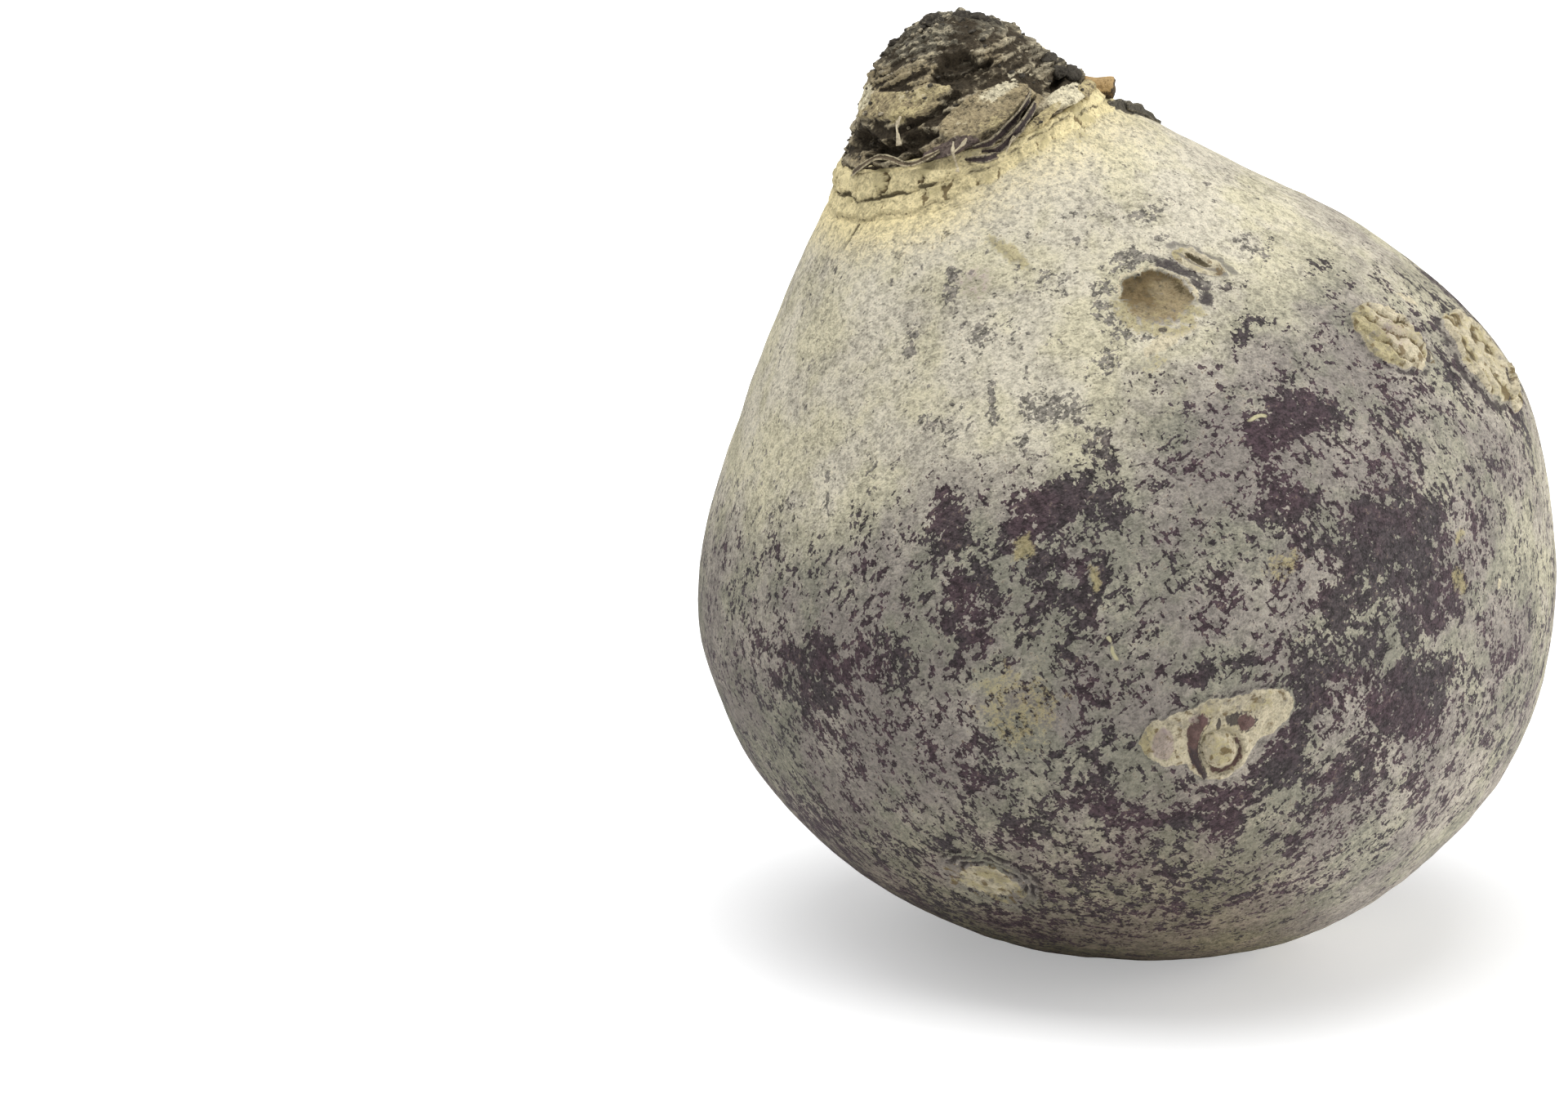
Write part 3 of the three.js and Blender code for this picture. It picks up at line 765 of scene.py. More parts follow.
# %% Leaf bases, crevices and hollows
def leaf_base(canvas, height, turn, across, along, rise, tilt, colours, square=2.6):
    """The dried base of one leaf: a rough plate that stands out most at its lower edge."""
    patch = Patch(canvas, height, turn, 1.3 * max(across, along), tilt, cap_outline)
    ragged = 0.09 * patch.ruffle(1.5, turn) + 0.06 * patch.ruffle(0.6, height)
    out = (np.abs(patch.across / across) ** square + np.abs(patch.along / along) ** square) ** (1 / square)
    inside = smooth(1.04, 0.93, out + ragged)
    relief = canvas.relief[patch.near]
    plate = rise - 0.15 * patch.along / along + 0.14 * relief + 0.2 * patch.ruffle(1.3, 41)
    plate += 0.1 * patch.ruffle(0.5, 42)
    canvas.relief[patch.near] = relief * (1 - inside) + plate * inside
    patch.clear_all(inside)
    for name, strength in colours.items():
        patch.cover(name, strength * inside)


def hollow(canvas, height, turn, across, along, depth, tilt):
    """A dark hole with a torn edge."""
    patch = Patch(canvas, height, turn, 1.4 * max(across, along), tilt, cap_outline)
    ragged = 0.3 * patch.ruffle(1.3, turn + 3) + 0.15 * patch.ruffle(0.5, height)
    inside = smooth(1.05, 0.75, np.hypot(patch.across / across, patch.along / along) + ragged)
    patch.lift(-depth * inside)
    patch.clear_all(0.9 * inside)
    patch.cover("black", inside)


def crevice(canvas, places, width, depth):
    """A crack from place to place."""
    for start, end in zip(places, places[1:]):
        for share in np.linspace(0, 1, 5):
            height, turn = np.array(start) * (1 - share) + np.array(end) * share
            patch = Patch(canvas, height, turn, 2.6 * width, 0, cap_outline)
            wide = width * (1 + 0.5 * patch.ruffle(1.4, 43))
            inside = smooth(1, 0.3, np.hypot(patch.across / (1.6 * wide), patch.along / wide))
            relief = canvas.relief[patch.near]
            canvas.relief[patch.near] = np.minimum(relief, relief * (1 - inside) - depth * inside)
            patch.clear_all(inside)
            patch.cover("black", inside)


draw = random.Random(11)
for step in range(17):
    turn = (115 + 137.5 * step) % 360
    if 115 < turn < 250:
        size = draw.uniform(3.5, 5.5), draw.uniform(1.1, 1.8), draw.uniform(-0.2, 0.2)
        colours = {"tan": draw.uniform(0.3, 0.9), "pale": draw.uniform(0, 0.5)}
        leaf_base(cap, 101.2 + 0.42 * step, turn, *size, draw.uniform(-12, 12), colours)
FRONT_BASES = [  # height, turn, half-width, half-height and rise in mm, tilt, colours, and how square it is
    (105.9, -45, 6.6, 1.6, -0.15, -3, {"tan": 0.9, "ochre": 0.35}),
    (106.3, -84, 2.8, 1.5, -0.35, 0, {"pale": 0.75, "ochre": 0.9}),
    (106.4, -14, 2.6, 0.9, -0.25, 4, {"tan": 0.7, "ochre": 0.5}),
    (103.0, 16, 6.2, 2.5, -0.05, 5, {"tan": 0.75}),
    (100.7, -8, 3.6, 1.0, 0.0, 2, {"purple": 0.95}, 2),
    (100.9, 56, 3.3, 1.2, 0.45, -4, {"pale": 0.85, "tan": 0.5}, 3),
    (100.2, 34, 3.8, 0.6, 0.3, 12, {"tan": 1.0, "ochre": 0.8}, 2),
    (100.3, 72, 2.6, 0.9, 0.2, 0, {"tan": 0.9, "ochre": 0.6}),
    (101.0, -64, 2.2, 1.0, -0.3, 0, {"tan": 0.5}),
]
for measures in FRONT_BASES:
    leaf_base(cap, *measures)
crevice(cap, [(103.6, -38), (104.1, -24), (104.6, -10), (105.6, 2)], 0.55, 1.6)
crevice(cap, [(100.0, 0), (100.0, 10), (100.8, 22), (101.8, 34)], 0.4, 1.2)
HOLLOWS = [  # height, turn, half-width, half-height and depth in mm, tilt
    (102.8, -68, 3.2, 1.3, 1.8, 0), (101.9, -44, 3.0, 1.3, 1.8, 0), (100.6, -28, 2.2, 0.9, 1.6, 10),
    (108.2, 7, 3.0, 1.9, 1.5, 14), (102.4, -24, 2.6, 1.2, 1.2, 8), (107.2, 26, 1.8, 0.7, 1.2, 10),
    (101.6, 28, 3.0, 0.5, 1.3, 24), (102.6, 66, 2.4, 0.6, 1.3, 10),
]
for measures in HOLLOWS:
    hollow(cap, *measures)
STREAKS_OF_TISSUE = [  # height, turn, half-width and half-height in mm, mask, strength
    (104.7, 33, 3.6, 1.0, "pale", 0.95), (104.4, 22, 2.0, 0.7, "pale", 0.5),
    (106.9, -80, 2.0, 0.9, "pale", 0.5), (101.6, 14, 3.0, 1.0, "ochre", 0.5),
    (100.8, -7, 2.0, 0.7, "purple", 1.0), (104.9, -33, 2.2, 0.8, "ochre", 0.9),
]
for height, turn, across, along, name, strength in STREAKS_OF_TISSUE:
    patch = Patch(cap, height, turn, 1.6 * across, 6, cap_outline)
    torn = 0.5 * patch.ruffle(1.4, turn) + 0.35 * patch.ruffle(0.5, height)
    out = np.hypot(patch.across / across, patch.along / along) + torn
    patch.cover(name, strength * smooth(1.3, 0.6, out))
print("relief of the cap:", round(float(cap.relief.min()), 1), "to", round(float(cap.relief.max()), 1), "mm")

# %% Knobs, and a mask of what stands out
KNOBS = [  # height, turn, radius and rise in mm
    (102.9, -66, 1.1, 0.9), (101.6, -50, 0.9, 0.7), (110.2, 90, 0.9, 0.6), (108.2, -95, 1.0, 0.7),
    (103.2, 80, 1.6, 0.7), (101.6, 84, 1.3, 0.6), (110.6, 150, 1.2, 0.8), (107.0, 170, 1.8, 0.9),
    (104.5, -150, 1.6, 0.8),
]
for height, turn, radius, rise in KNOBS:
    patch = Patch(cap, height, turn, radius, 0, cap_outline)
    patch.lift(rise * hump(np.hypot(patch.across, patch.along) / radius))
cap.relief += outside * 0.07 * cap.ruffle(0.5, 45)
# The mask of crests is high where the bark stands out and low in its hollows and cracks: the finish paints
# the hollows dark as painted shade, and the crests pale, partly as wear and partly as painted highlight.
raised = smooth(-1.25, -0.35, cap.relief)
detail = smooth(-0.05, 0.85, 0.65 * thin_shelves + 0.25 * grit + 0.3 * cap.ruffle(0.6, 46))
cap.masks["crest_wear_and_shade"] = (0.5 * raised + 0.5 * detail) * outside
bark_points = cap.points + cap.normals * cap.relief[:, None]
crown = piece_from(cap_shape, cap, "crown_bark")
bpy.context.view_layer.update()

# %% Loose crumbs and knobs
def crumb(shape, middle, radius, tone, seed, steps):
    """Adds a rough lump with the given half-widths to shape."""
    made = bmesh.ops.create_icosphere(shape, subdivisions=steps, radius=1)["verts"]
    for vert in made:
        waver = 1 + 0.3 * noise.noise(vert.co * 1.3 + Vector((seed, 0, 0)))
        waver += 0.15 * noise.noise(vert.co * 3 + Vector((0, seed, 0)))
        vert.co = Vector(np.array(middle) + np.array(vert.co) * radius * waver)
        vert[shape.verts.layers.float["edge"]] = tone


crumb_shape = bmesh.new()
crumb_shape.verts.layers.float.new("edge")
draw = random.Random(61)
ABOVE_LIP = 99.8
off_axis = np.hypot(cap.points[:, 0], cap.points[:, 1]) > CAP_STEP / 2
on_bark = np.nonzero(off_axis & (cap.height > ABOVE_LIP))[0]
# `spin` leaves its points in no fixed order, so they are sorted round the axis and upwards before the draw.
step_round = np.round(cap.turn[on_bark] * CAP_TURNS / 360) % CAP_TURNS
on_bark = on_bark[np.lexsort((cap.height[on_bark], step_round))]
for seed in range(150):
    index, size = draw.choice(on_bark), draw.uniform(0.12, 0.34)
    radius = size * np.array([draw.uniform(*span) for span in ((0.8, 1.6), (0.8, 1.6), (0.5, 0.9))])
    crumb(crumb_shape, bark_points[index], radius, draw.choice((0.0, 0.2, 0.5, 0.9)), seed, 2)
TIP_KNOBS = [  # height, turn, distance from the axis, half-widths, tone
    (111.5, 0, 0.3, (1.35, 1.3, 0.95), 0.25), (110.8, 92, 2.9, (1.2, 1.3, 0.9), 0.15),
    (110.3, 88, 4.5, (1.1, 1.3, 0.8), 0.1), (109.6, 86, 5.6, (0.7, 0.8, 0.7), 0.1),
    (109.0, 84, 6.5, (0.55, 0.6, 0.75), 0.1), (110.4, -100, 4.9, (0.6, 0.5, 0.4), 0.0),
    (107.9, -98, 8.0, (0.5, 0.5, 0.3), 0.4), (103.4, 82, 10.8, (1.5, 1.6, 1.1), 0.1),
    (101.6, 82, 12.4, (1.3, 1.5, 1.0), 0.05), (102.6, 74, 11.9, (0.9, 1.0, 0.8), 0.1),
]
for seed, (height, turn, away, radius, tone) in enumerate(TIP_KNOBS):
    angle = math.radians(turn)
    crumb(crumb_shape, (away * math.sin(angle), -away * math.cos(angle), height), radius, tone, seed, 4)
bmesh.ops.recalc_face_normals(crumb_shape, faces=crumb_shape.faces)
crumbs_piece = piece_from(crumb_shape, Canvas(crumb_shape, ()), "bark_crumbs")
print("crumbs:", len(crumbs_piece.data.polygons), "triangles")

# %% [markdown]
# ## What is left of the leaf stalks
#
# When a beetroot is topped, the leaves are twisted off and leave stubs and strips that dry up. A strip is a
# flat grid that is laid along a line through a few places, cupped a little, and then given a thickness with
# `solidify`, which also closes its edges. A curve with a bevel would be quicker, but even along its length.
# The first three pieces made here, and the cut stub after them, stand in for the plain slips of the solid.

# %% Strips of dried stalk
def line_through(places, count):
    """Points on a smooth line through places, each a height, a turn and a distance out from the bark."""
    spots = []
    for height, turn, out in places:
        spot, right, upwards = spot_on(height, turn, cap_outline if height > NECK_AT + 2 else outline)
        spots.append(spot + out * np.cross(right, upwards))
    walked = np.linspace(0, len(spots) - 1, count)
    before, share = np.minimum(walked.astype(int), len(spots) - 2), walked % 1
    share[-1] = 1
    spots = np.array([2 * spots[0] - spots[1]] + spots + [2 * spots[-1] - spots[-2]])
    first, second, third, fourth = (spots[before + step] for step in range(4))
    share = share[:, None]
    bend = (2 * first - 5 * second + 4 * third - fourth) * share**2
    turn_back = (3 * second - 3 * third + fourth - first) * share**3
    return second + 0.5 * ((third - first) * share + bend + turn_back)


STRIP_STEPS = 48


def strip(shape, places, widths, thickness, seed, cup=0.0, roll=0.0, lanes=6):
    """Adds a strip along the places to shape. cup lifts its sides, and roll turns it about its length."""
    grid = bmesh.ops.create_grid(shape, x_segments=STRIP_STEPS, y_segments=lanes, size=1)["verts"]
    line = line_through(places, STRIP_STEPS + 1)
    run = np.gradient(line, axis=0)
    run /= np.linalg.norm(run, axis=1)[:, None]
    outwards = line * (1, 1, 0) / np.linalg.norm(line[:, :2], axis=1)[:, None]
    side = np.cross(outwards, run)
    side /= np.linalg.norm(side, axis=1)[:, None]
    outwards = np.cross(run, side)
    for vert in grid:
        step, lane = round((vert.co.x + 1) / 2 * STRIP_STEPS), vert.co.y
        width = np.interp(step / STRIP_STEPS, np.linspace(0, 1, len(widths)), widths) / 2
        flat = side[step] * math.cos(roll) + outwards[step] * math.sin(roll)
        out = outwards[step] * math.cos(roll) - side[step] * math.sin(roll)
        waver = noise.noise(Vector(line[step]) / 1.3 + Vector((seed, lane * 0.7, 0)))
        sideways, lifted = width * lane * (1 + 0.3 * waver), cup * width * lane**2 + 0.22 * waver
        vert[shape.verts.layers.float["edge"]] = abs(lane) ** 3
        vert.co = Vector(line[step] + flat * sideways + out * lifted)
    faces = list({face for vert in grid for face in vert.link_faces})
    bmesh.ops.recalc_face_normals(shape, faces=faces)
    bmesh.ops.solidify(shape, geom=faces + grid, thickness=thickness)


def remains(name, strips, replaced=None):
    """One piece made of strips, leaning as the root does."""
    shape = bmesh.new()
    shape.verts.layers.float.new("edge")
    for parts in strips:
        strip(shape, **parts)
    bmesh.ops.recalc_face_normals(shape, faces=shape.faces)
    piece = piece_from(shape, Canvas(shape, ()), name)
    if replaced:
        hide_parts(replaced)
    print(name, "spans", [round(1000 * side, 1) for side in piece.dimensions], "mm")
    return piece


lip = remains("curled_leaf_scale", [
    {"places": [(99.5, -63, 0.1), (100.2, -54, 0.2), (101.0, -44, 0.35), (100.8, -36, 0.5), (100.0, -27, 0.4),
                (100.1, -20, 0.3), (100.6, -12, 0.2)],
     "widths": (0.5, 0.8, 0.45, 0.5, 0.45, 0.4, 0.2), "thickness": 0.16, "cup": 0.5, "roll": -0.7, "seed": 1},
], replaced="dry_leaf_scale")
remnant = remains("dried_stalk_strips", [
    {"places": [(100.0, 2, 0.2), (99.9, 10, 0.5), (100.7, 20, 0.7), (101.9, 32, 0.6), (102.9, 40, 0.2)],
     "widths": (0.3, 0.9, 1.0, 0.7, 0.2), "thickness": 0.2, "cup": 0.5, "roll": 0.5, "seed": 2},
    {"places": [(99.5, 5, 0.3), (99.4, 12, 0.7), (100.0, 22, 0.8), (101.0, 31, 0.5), (101.7, 37, 0.2)],
     "widths": (0.3, 0.8, 0.9, 0.8, 0.2), "thickness": 0.2, "cup": 0.6, "roll": 0.2, "seed": 3},
    {"places": [(99.2, -3, 0.3), (98.9, 5, 0.8), (99.1, 13, 0.7), (99.8, 20, 0.5)],
     "widths": (0.3, 0.7, 0.6, 0.2), "thickness": 0.2, "cup": 0.4, "roll": -0.3, "seed": 4},
], replaced="leaf_stalk_remnant")
scrap = remains("withered_scrap", [
    {"places": [(97.3, 78, 0.0), (96.4, 84, 0.3), (95.4, 89, 0.3), (94.4, 93, 0.3), (93.4, 97, 0.1)],
     "widths": (0.7, 1.5, 1.7, 1.4, 0.6), "thickness": 0.4, "cup": 0.1, "seed": 5},
    {"places": [(95.8, 86, 0.5), (94.9, 91, 0.6), (93.8, 95, 0.5), (92.2, 99, 0.1)],
     "widths": (0.5, 1.0, 0.8, 0.2), "thickness": 0.3, "cup": 0.3, "roll": 0.3, "seed": 6},
], replaced="withered_leaf_scrap")
fibres = remains("loose_fibres", [
    {"places": [(104.6, -33, 0.0), (103.7, -33.5, 0.3), (102.4, -32, 0.4), (101.9, -31.5, 0.3)],
     "widths": (0.1, 0.26, 0.24, 0.5), "thickness": 0.25, "cup": 0.3, "seed": 7, "lanes": 2},
    {"places": [(101.0, -5, 0.4), (99.9, -6, 0.9), (99.2, -6.5, 1.2), (98.5, -6, 1.0)],
     "widths": (0.2, 0.28, 0.26, 0.1), "thickness": 0.2, "seed": 8, "lanes": 2},
    {"places": [(99.9, -6, 0.9), (100.2, -2, 1.0), (100.7, 1, 0.7)],
     "widths": (0.2, 0.26, 0.1), "thickness": 0.18, "seed": 9, "lanes": 2},
    {"places": [(99.3, 8, 0.9), (99.2, 13, 1.2), (99.7, 19, 1.0)],
     "widths": (0.1, 0.26, 0.12), "thickness": 0.18, "seed": 10, "lanes": 2},
])

# %% The cut stub
side = [(1.25 - 0.006 * step, 0.2 * step) for step in range(17)]
stub_profile = [(0, 0)] + side + [(0.8, 3.4), (0.4, 3.35), (0, 3.35)]
stub_shape = spun([Vector((radius, 0, height)) for radius, height in stub_profile], 36)
stub = Canvas(stub_shape, ("edge",))
along_stub = stub.points * (1, 1, 0.25)
stub.relief = 0.12 * ruffle(along_stub, 0.6, 91) + 0.15 * stub.ruffle(1.8, 92)
foot, right, upwards = spot_on(100.4, 86, cap_outline)
outwards = np.cross(right, upwards)
aim = Vector((1, -0.2, -0.30)).to_track_quat("Z", "Y").to_matrix()
stub.points = stub.points @ np.array(aim).T + foot - 1.3 * outwards / np.linalg.norm(outwards)
stub.normals = stub.normals @ np.array(aim).T
# Painted shade: the underside of the stub, turned away from the light, goes into the edge mask and is painted
# dark.
facing_up = stub.normals @ np.array((-0.3, -0.2, 1.0))
stub.masks["edge"] = smooth(0.35, -0.2, facing_up + 0.4 * stub.ruffle(1.2, 94))
stub_piece = piece_from(stub_shape, stub, "cut_leaf_stub")
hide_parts("leaf_stalk_stub")
print("cut stub:", len(stub_piece.data.polygons), "triangles")

# %% [markdown]
# ## Short words for nodes
#
# A finish is a node tree, and a tree that is written out one node and one link at a time hides its own idea.
# So a small class adds a node and plugs its inputs in one call: a number or colour is set, and another node's
# output is linked. Every pattern starts from Object coordinates in millimetres, so that it has a real size.

# %% A helper that adds and links nodes
class Nodes:
    """Adds nodes to one tree. An input is given as a plain value, or as the output that it is linked to."""

    def __init__(self, tree):
        tree.nodes.clear()
        self.tree = tree

    def plug(self, node, plugs):
        """Links or sets each of the named inputs of a node."""
        for name, value in plugs.items():
            if isinstance(value, bpy.types.NodeSocket):
                self.tree.links.new(value, node.inputs[name])
            else:
                node.inputs[name].default_value = value

    def add(self, kind, plugs=None, **settings):
        node = self.tree.nodes.new(kind)
        for name, setting in settings.items():
            setattr(node, name, setting)
        self.plug(node, plugs or {})
        return node

    def place(self):
        """Object coordinates in millimetres."""
        where = self.add("ShaderNodeTexCoord").outputs["Object"]
        return self.vector("SCALE", where, Scale=1 / MM)

    def mask(self, name):
        return self.add("ShaderNodeAttribute", attribute_name=name).outputs["Fac"]

    def math(self, operation, first, second, clamp=False):
        plugs = {0: first, 1: second}
        return self.add("ShaderNodeMath", plugs, operation=operation, use_clamp=clamp).outputs[0]

    def plus(self, value, extra, amount, clamp=False):
        """value, with amount times extra added to it."""
        return self.math("ADD", value, self.math("MULTIPLY", extra, amount), clamp)

    def vector(self, operation, first, second=(0, 0, 0), **more):
        node = self.add("ShaderNodeVectorMath", {0: first, 1: second, **more}, operation=operation)
        return node.outputs["Value" if operation in ("DOT_PRODUCT", "LENGTH") else "Vector"]

    def fade(self, value, low, high, start=0.0, end=1.0):
        """start below low, end above high, and an even change between them."""
        plugs = {"Value": value, "From Min": low, "From Max": high, "To Min": start, "To Max": end}
        return self.add("ShaderNodeMapRange", plugs, interpolation_type="SMOOTHSTEP").outputs["Result"]

    def noise(self, where, size, detail, rough, output="Fac"):
        plugs = {"Vector": where, "Scale": 1 / size, "Detail": detail, "Roughness": rough}
        return self.add("ShaderNodeTexNoise", plugs).outputs[output]

    def stretched(self, where, turn, pull):
        """Coordinates that make a pattern longer by pull on each axis, after a turn in radians about Y."""
        plugs = {"Vector": where, "Rotation": (0, turn, 0), "Scale": pull}
        return self.add("ShaderNodeMapping", plugs, vector_type="TEXTURE").outputs[0]

    def blend(self, share, under, over, way="MIX"):
        """A colour with another laid over it, as far as share says."""
        under, over = ((*value, 1) if isinstance(value, tuple) else value for value in (under, over))
        plugs = {0: share, 6: under, 7: over}  # a Mix node has inputs of every kind, and 6 and 7 are colours
        return self.add("ShaderNodeMix", plugs, data_type="RGBA", blend_type=way).outputs[2]

    def use(self, group, **plugs):
        return self.add("ShaderNodeGroup", plugs, node_tree=group).outputs


def new_group(name, vectors, numbers, gives):
    """An empty node group, with the helper that fills it. Each of its numbers has a first value."""
    tree = bpy.data.node_groups.new(name, "ShaderNodeTree")
    nodes = Nodes(tree)
    for socket in vectors:
        tree.interface.new_socket(name=socket, in_out="INPUT", socket_type="NodeSocketVector")
    for socket, value in numbers.items():
        made = tree.interface.new_socket(name=socket, in_out="INPUT", socket_type="NodeSocketFloat")
        made.default_value = value
    for socket in gives:
        tree.interface.new_socket(name=socket, in_out="OUTPUT", socket_type="NodeSocketFloat")
    return nodes, nodes.add("NodeGroupInput").outputs, nodes.add("NodeGroupOutput")

# %% [markdown]
# ## Three effects that several finishes share
#
# Cork, bark and dry stalks are all dead plant tissue, so they share their grain, the fine crumbling of the
# cells. Ragged edges turn a soft mask into a torn one, as where cork has flaked away. A thin mark is a line
# from one place to another, finer than any face of the mesh, and the skin has many. An image could hold all
# this, but it would need a UV map and would blur close by, so each effect is a node group with named inputs.

# %% Grain
nodes, given, out = new_group("Cork grain", ["Place"], {"Size": 1.0}, ["Tone", "Height"])
scaled = nodes.vector("DIVIDE", given["Place"], given["Size"])
dust = nodes.noise(nodes.stretched(scaled, -0.5, (1.8, 1, 1)), 0.30, 2.0, 0.85)
crumbs = nodes.noise(scaled, 0.95, 2.0, 0.75)
pores = nodes.fade(nodes.noise(scaled, 0.55, 1.0, 0.8), 0.30, 0.40, 1.0, 0.0)
tone = nodes.math("ADD", nodes.fade(dust, 0.3, 0.7, -0.5, 0.5), nodes.fade(crumbs, 0.3, 0.7, -0.55, 0.55))
high = nodes.plus(nodes.math("MULTIPLY", dust, 0.16), crumbs, 0.36)
nodes.plug(out, {"Tone": nodes.plus(tone, pores, -0.5), "Height": nodes.plus(high, pores, -0.06)})
GRAIN = nodes.tree
print("grain:", len(nodes.tree.nodes), "nodes")

# %% Ragged edges
nodes, given, out = new_group("Ragged edge", ["Place"], {"Level": 0.5, "Slant": 0.5}, ["Mask"])


def strokes(turn, flat, steep):
    """Streaks that run along a slant. They are weaker where the Slant input favours the other direction."""
    streaks = nodes.noise(nodes.stretched(given["Place"], turn, (2.4, 1, 1)), 0.75, 2.0, 0.65)
    return nodes.math("ADD", streaks, nodes.fade(given["Slant"], 0.0, 1.0, flat, steep))


crossed = nodes.math("MAXIMUM", strokes(-0.75, -0.04, 0.02), strokes(1.0, 0.02, -0.04))
wide, fine = nodes.noise(given["Place"], 2.8, 4.0, 0.7), nodes.noise(given["Place"], 0.3, 1.0, 0.5)
field = given["Level"]
for pattern, middle, weight in ((wide, 0.5, 2.0), (crossed, 0.56, 2.9), (fine, 0.5, 0.9)):
    field = nodes.plus(field, nodes.math("SUBTRACT", pattern, middle), weight)
nodes.plug(out, {"Mask": nodes.fade(field, 0.48, 0.54)})
RAGGED = nodes.tree
print("ragged edge:", len(nodes.tree.nodes), "nodes")

# %% Thin marks
nodes, given, out = new_group("Thin mark", ["Place", "Start", "End"], {"Width": 0.3}, ["Mask"])
run = nodes.vector("SUBTRACT", given["End"], given["Start"])
offset = nodes.vector("SUBTRACT", given["Place"], given["Start"])
reached, whole = nodes.vector("DOT_PRODUCT", offset, run), nodes.vector("DOT_PRODUCT", run, run)
foot = nodes.vector("SCALE", run, Scale=nodes.math("DIVIDE", reached, whole, clamp=True))
away = nodes.vector("LENGTH", nodes.vector("SUBTRACT", offset, foot))
nodes.plug(out, {"Mask": nodes.fade(nodes.math("DIVIDE", away, given["Width"]), 0.35, 0.6, 1.0, 0.0)})
THIN_MARK = nodes.tree
print("shared effects:", [tree.name for tree in bpy.data.node_groups])

# %% [markdown]
# ## The skin's finish
#
# The finish is laid down in the order that it grew. Under everything is the aubergine skin. Over it lies the
# cork coat, cream where it is thick and grey where it is thin, with a fine grain. The coat is torn open where
# the rubbed mask is high, and scratched along a few thin lines at the front. The yellow of the neck and the
# scars come last, each in its own colour. All this could be painted by hand, but masks and noise stay sharp
# however near one comes. The Bump node reads only the grain, because whatever it reads is worked out thrice.

# %% Build the skin's finish
def new_finish(name, rough, specular):
    """A material with one Principled shader, and the helper that fills its tree."""
    material = bpy.data.materials.new(name)
    material.use_nodes = True
    nodes = Nodes(material.node_tree)
    shader = nodes.add("ShaderNodeBsdfPrincipled", {"Roughness": rough, "Specular IOR Level": specular})
    nodes.add("ShaderNodeOutputMaterial", {"Surface": shader.outputs[0]})
    return material, nodes, shader


def grained(nodes, shader, colour, grain, strength):
    """Gives the shader its colour, and a normal that follows the height of the grain."""
    bump = nodes.add("ShaderNodeBump", {"Height": grain["Height"], "Distance": MM, "Strength": strength})
    nodes.plug(shader, {"Base Color": colour, "Normal": bump.outputs[0]})


def times(nodes, colour, factor):
    """A colour made lighter or darker by a number that changes over the surface."""
    return nodes.vector("SCALE", colour, Scale=factor)


def object_place(height, turn):
    """The place of a spot on the skin after it leans over, in millimetres."""
    return tuple(stand_up(spot_on(height, turn)[0][None])[0] / MM)


def marked(nodes, place, lines, width):
    """Where any of a group of thin lines runs."""
    found = 0.0
    for line in lines:
        for start, end in zip(line, line[1:]):
            ends = {"Start": object_place(*start), "End": object_place(*end)}
            mark = nodes.use(THIN_MARK, Place=place, Width=width, **ends)["Mask"]
            found = nodes.math("MAXIMUM", found, mark)
    return found


DARK_LINES = [  # the height and turn of each place on a line
    [(72.1, 9.8), (71.9, 14), (71.2, 19), (70.9, 28.8)],
    [(68.3, 7.5), (67.4, 11), (65.2, 13.6), (61.9, 13.5)], [(57.6, 9.2), (57.4, 16.0)],
    [(52.5, 6.5), (45.5, 7.5)], [(27.5, 60), (33.5, 52)],
    [(26.5, 2.5), (23.9, 3.2), (20.5, 7.5), (18.1, 8.8)], [(16.6, 6.8), (13.1, 10.2), (8.6, 18)],
    [(16.3, 12), (12, 19)], [(33.7, 3.5), (25.6, -0.2)], [(49.6, -11.5), (49.9, -8.8), (50, -5)],
    [(24.9, 37), (22.7, 34.5)], [(17.6, 23), (12.9, 31.5)],
]
DARK_STREAKS = [
    [(37.7, -19.5), (34.3, -19.2)], [(32.8, -19.5), (28.7, -20.5)], [(32.2, -16.8), (29.3, -17)],
    [(38, -12.5), (33.6, -12.5)], [(37.9, -9.8), (39.4, -7.5)],
]
PALE_LINES = [[(68.9, 69.5), (67.2, 70.5)], [(68.1, 26.5), (66.5, 33)], [(53.0, -2.6), (50.2, -2.2)]]


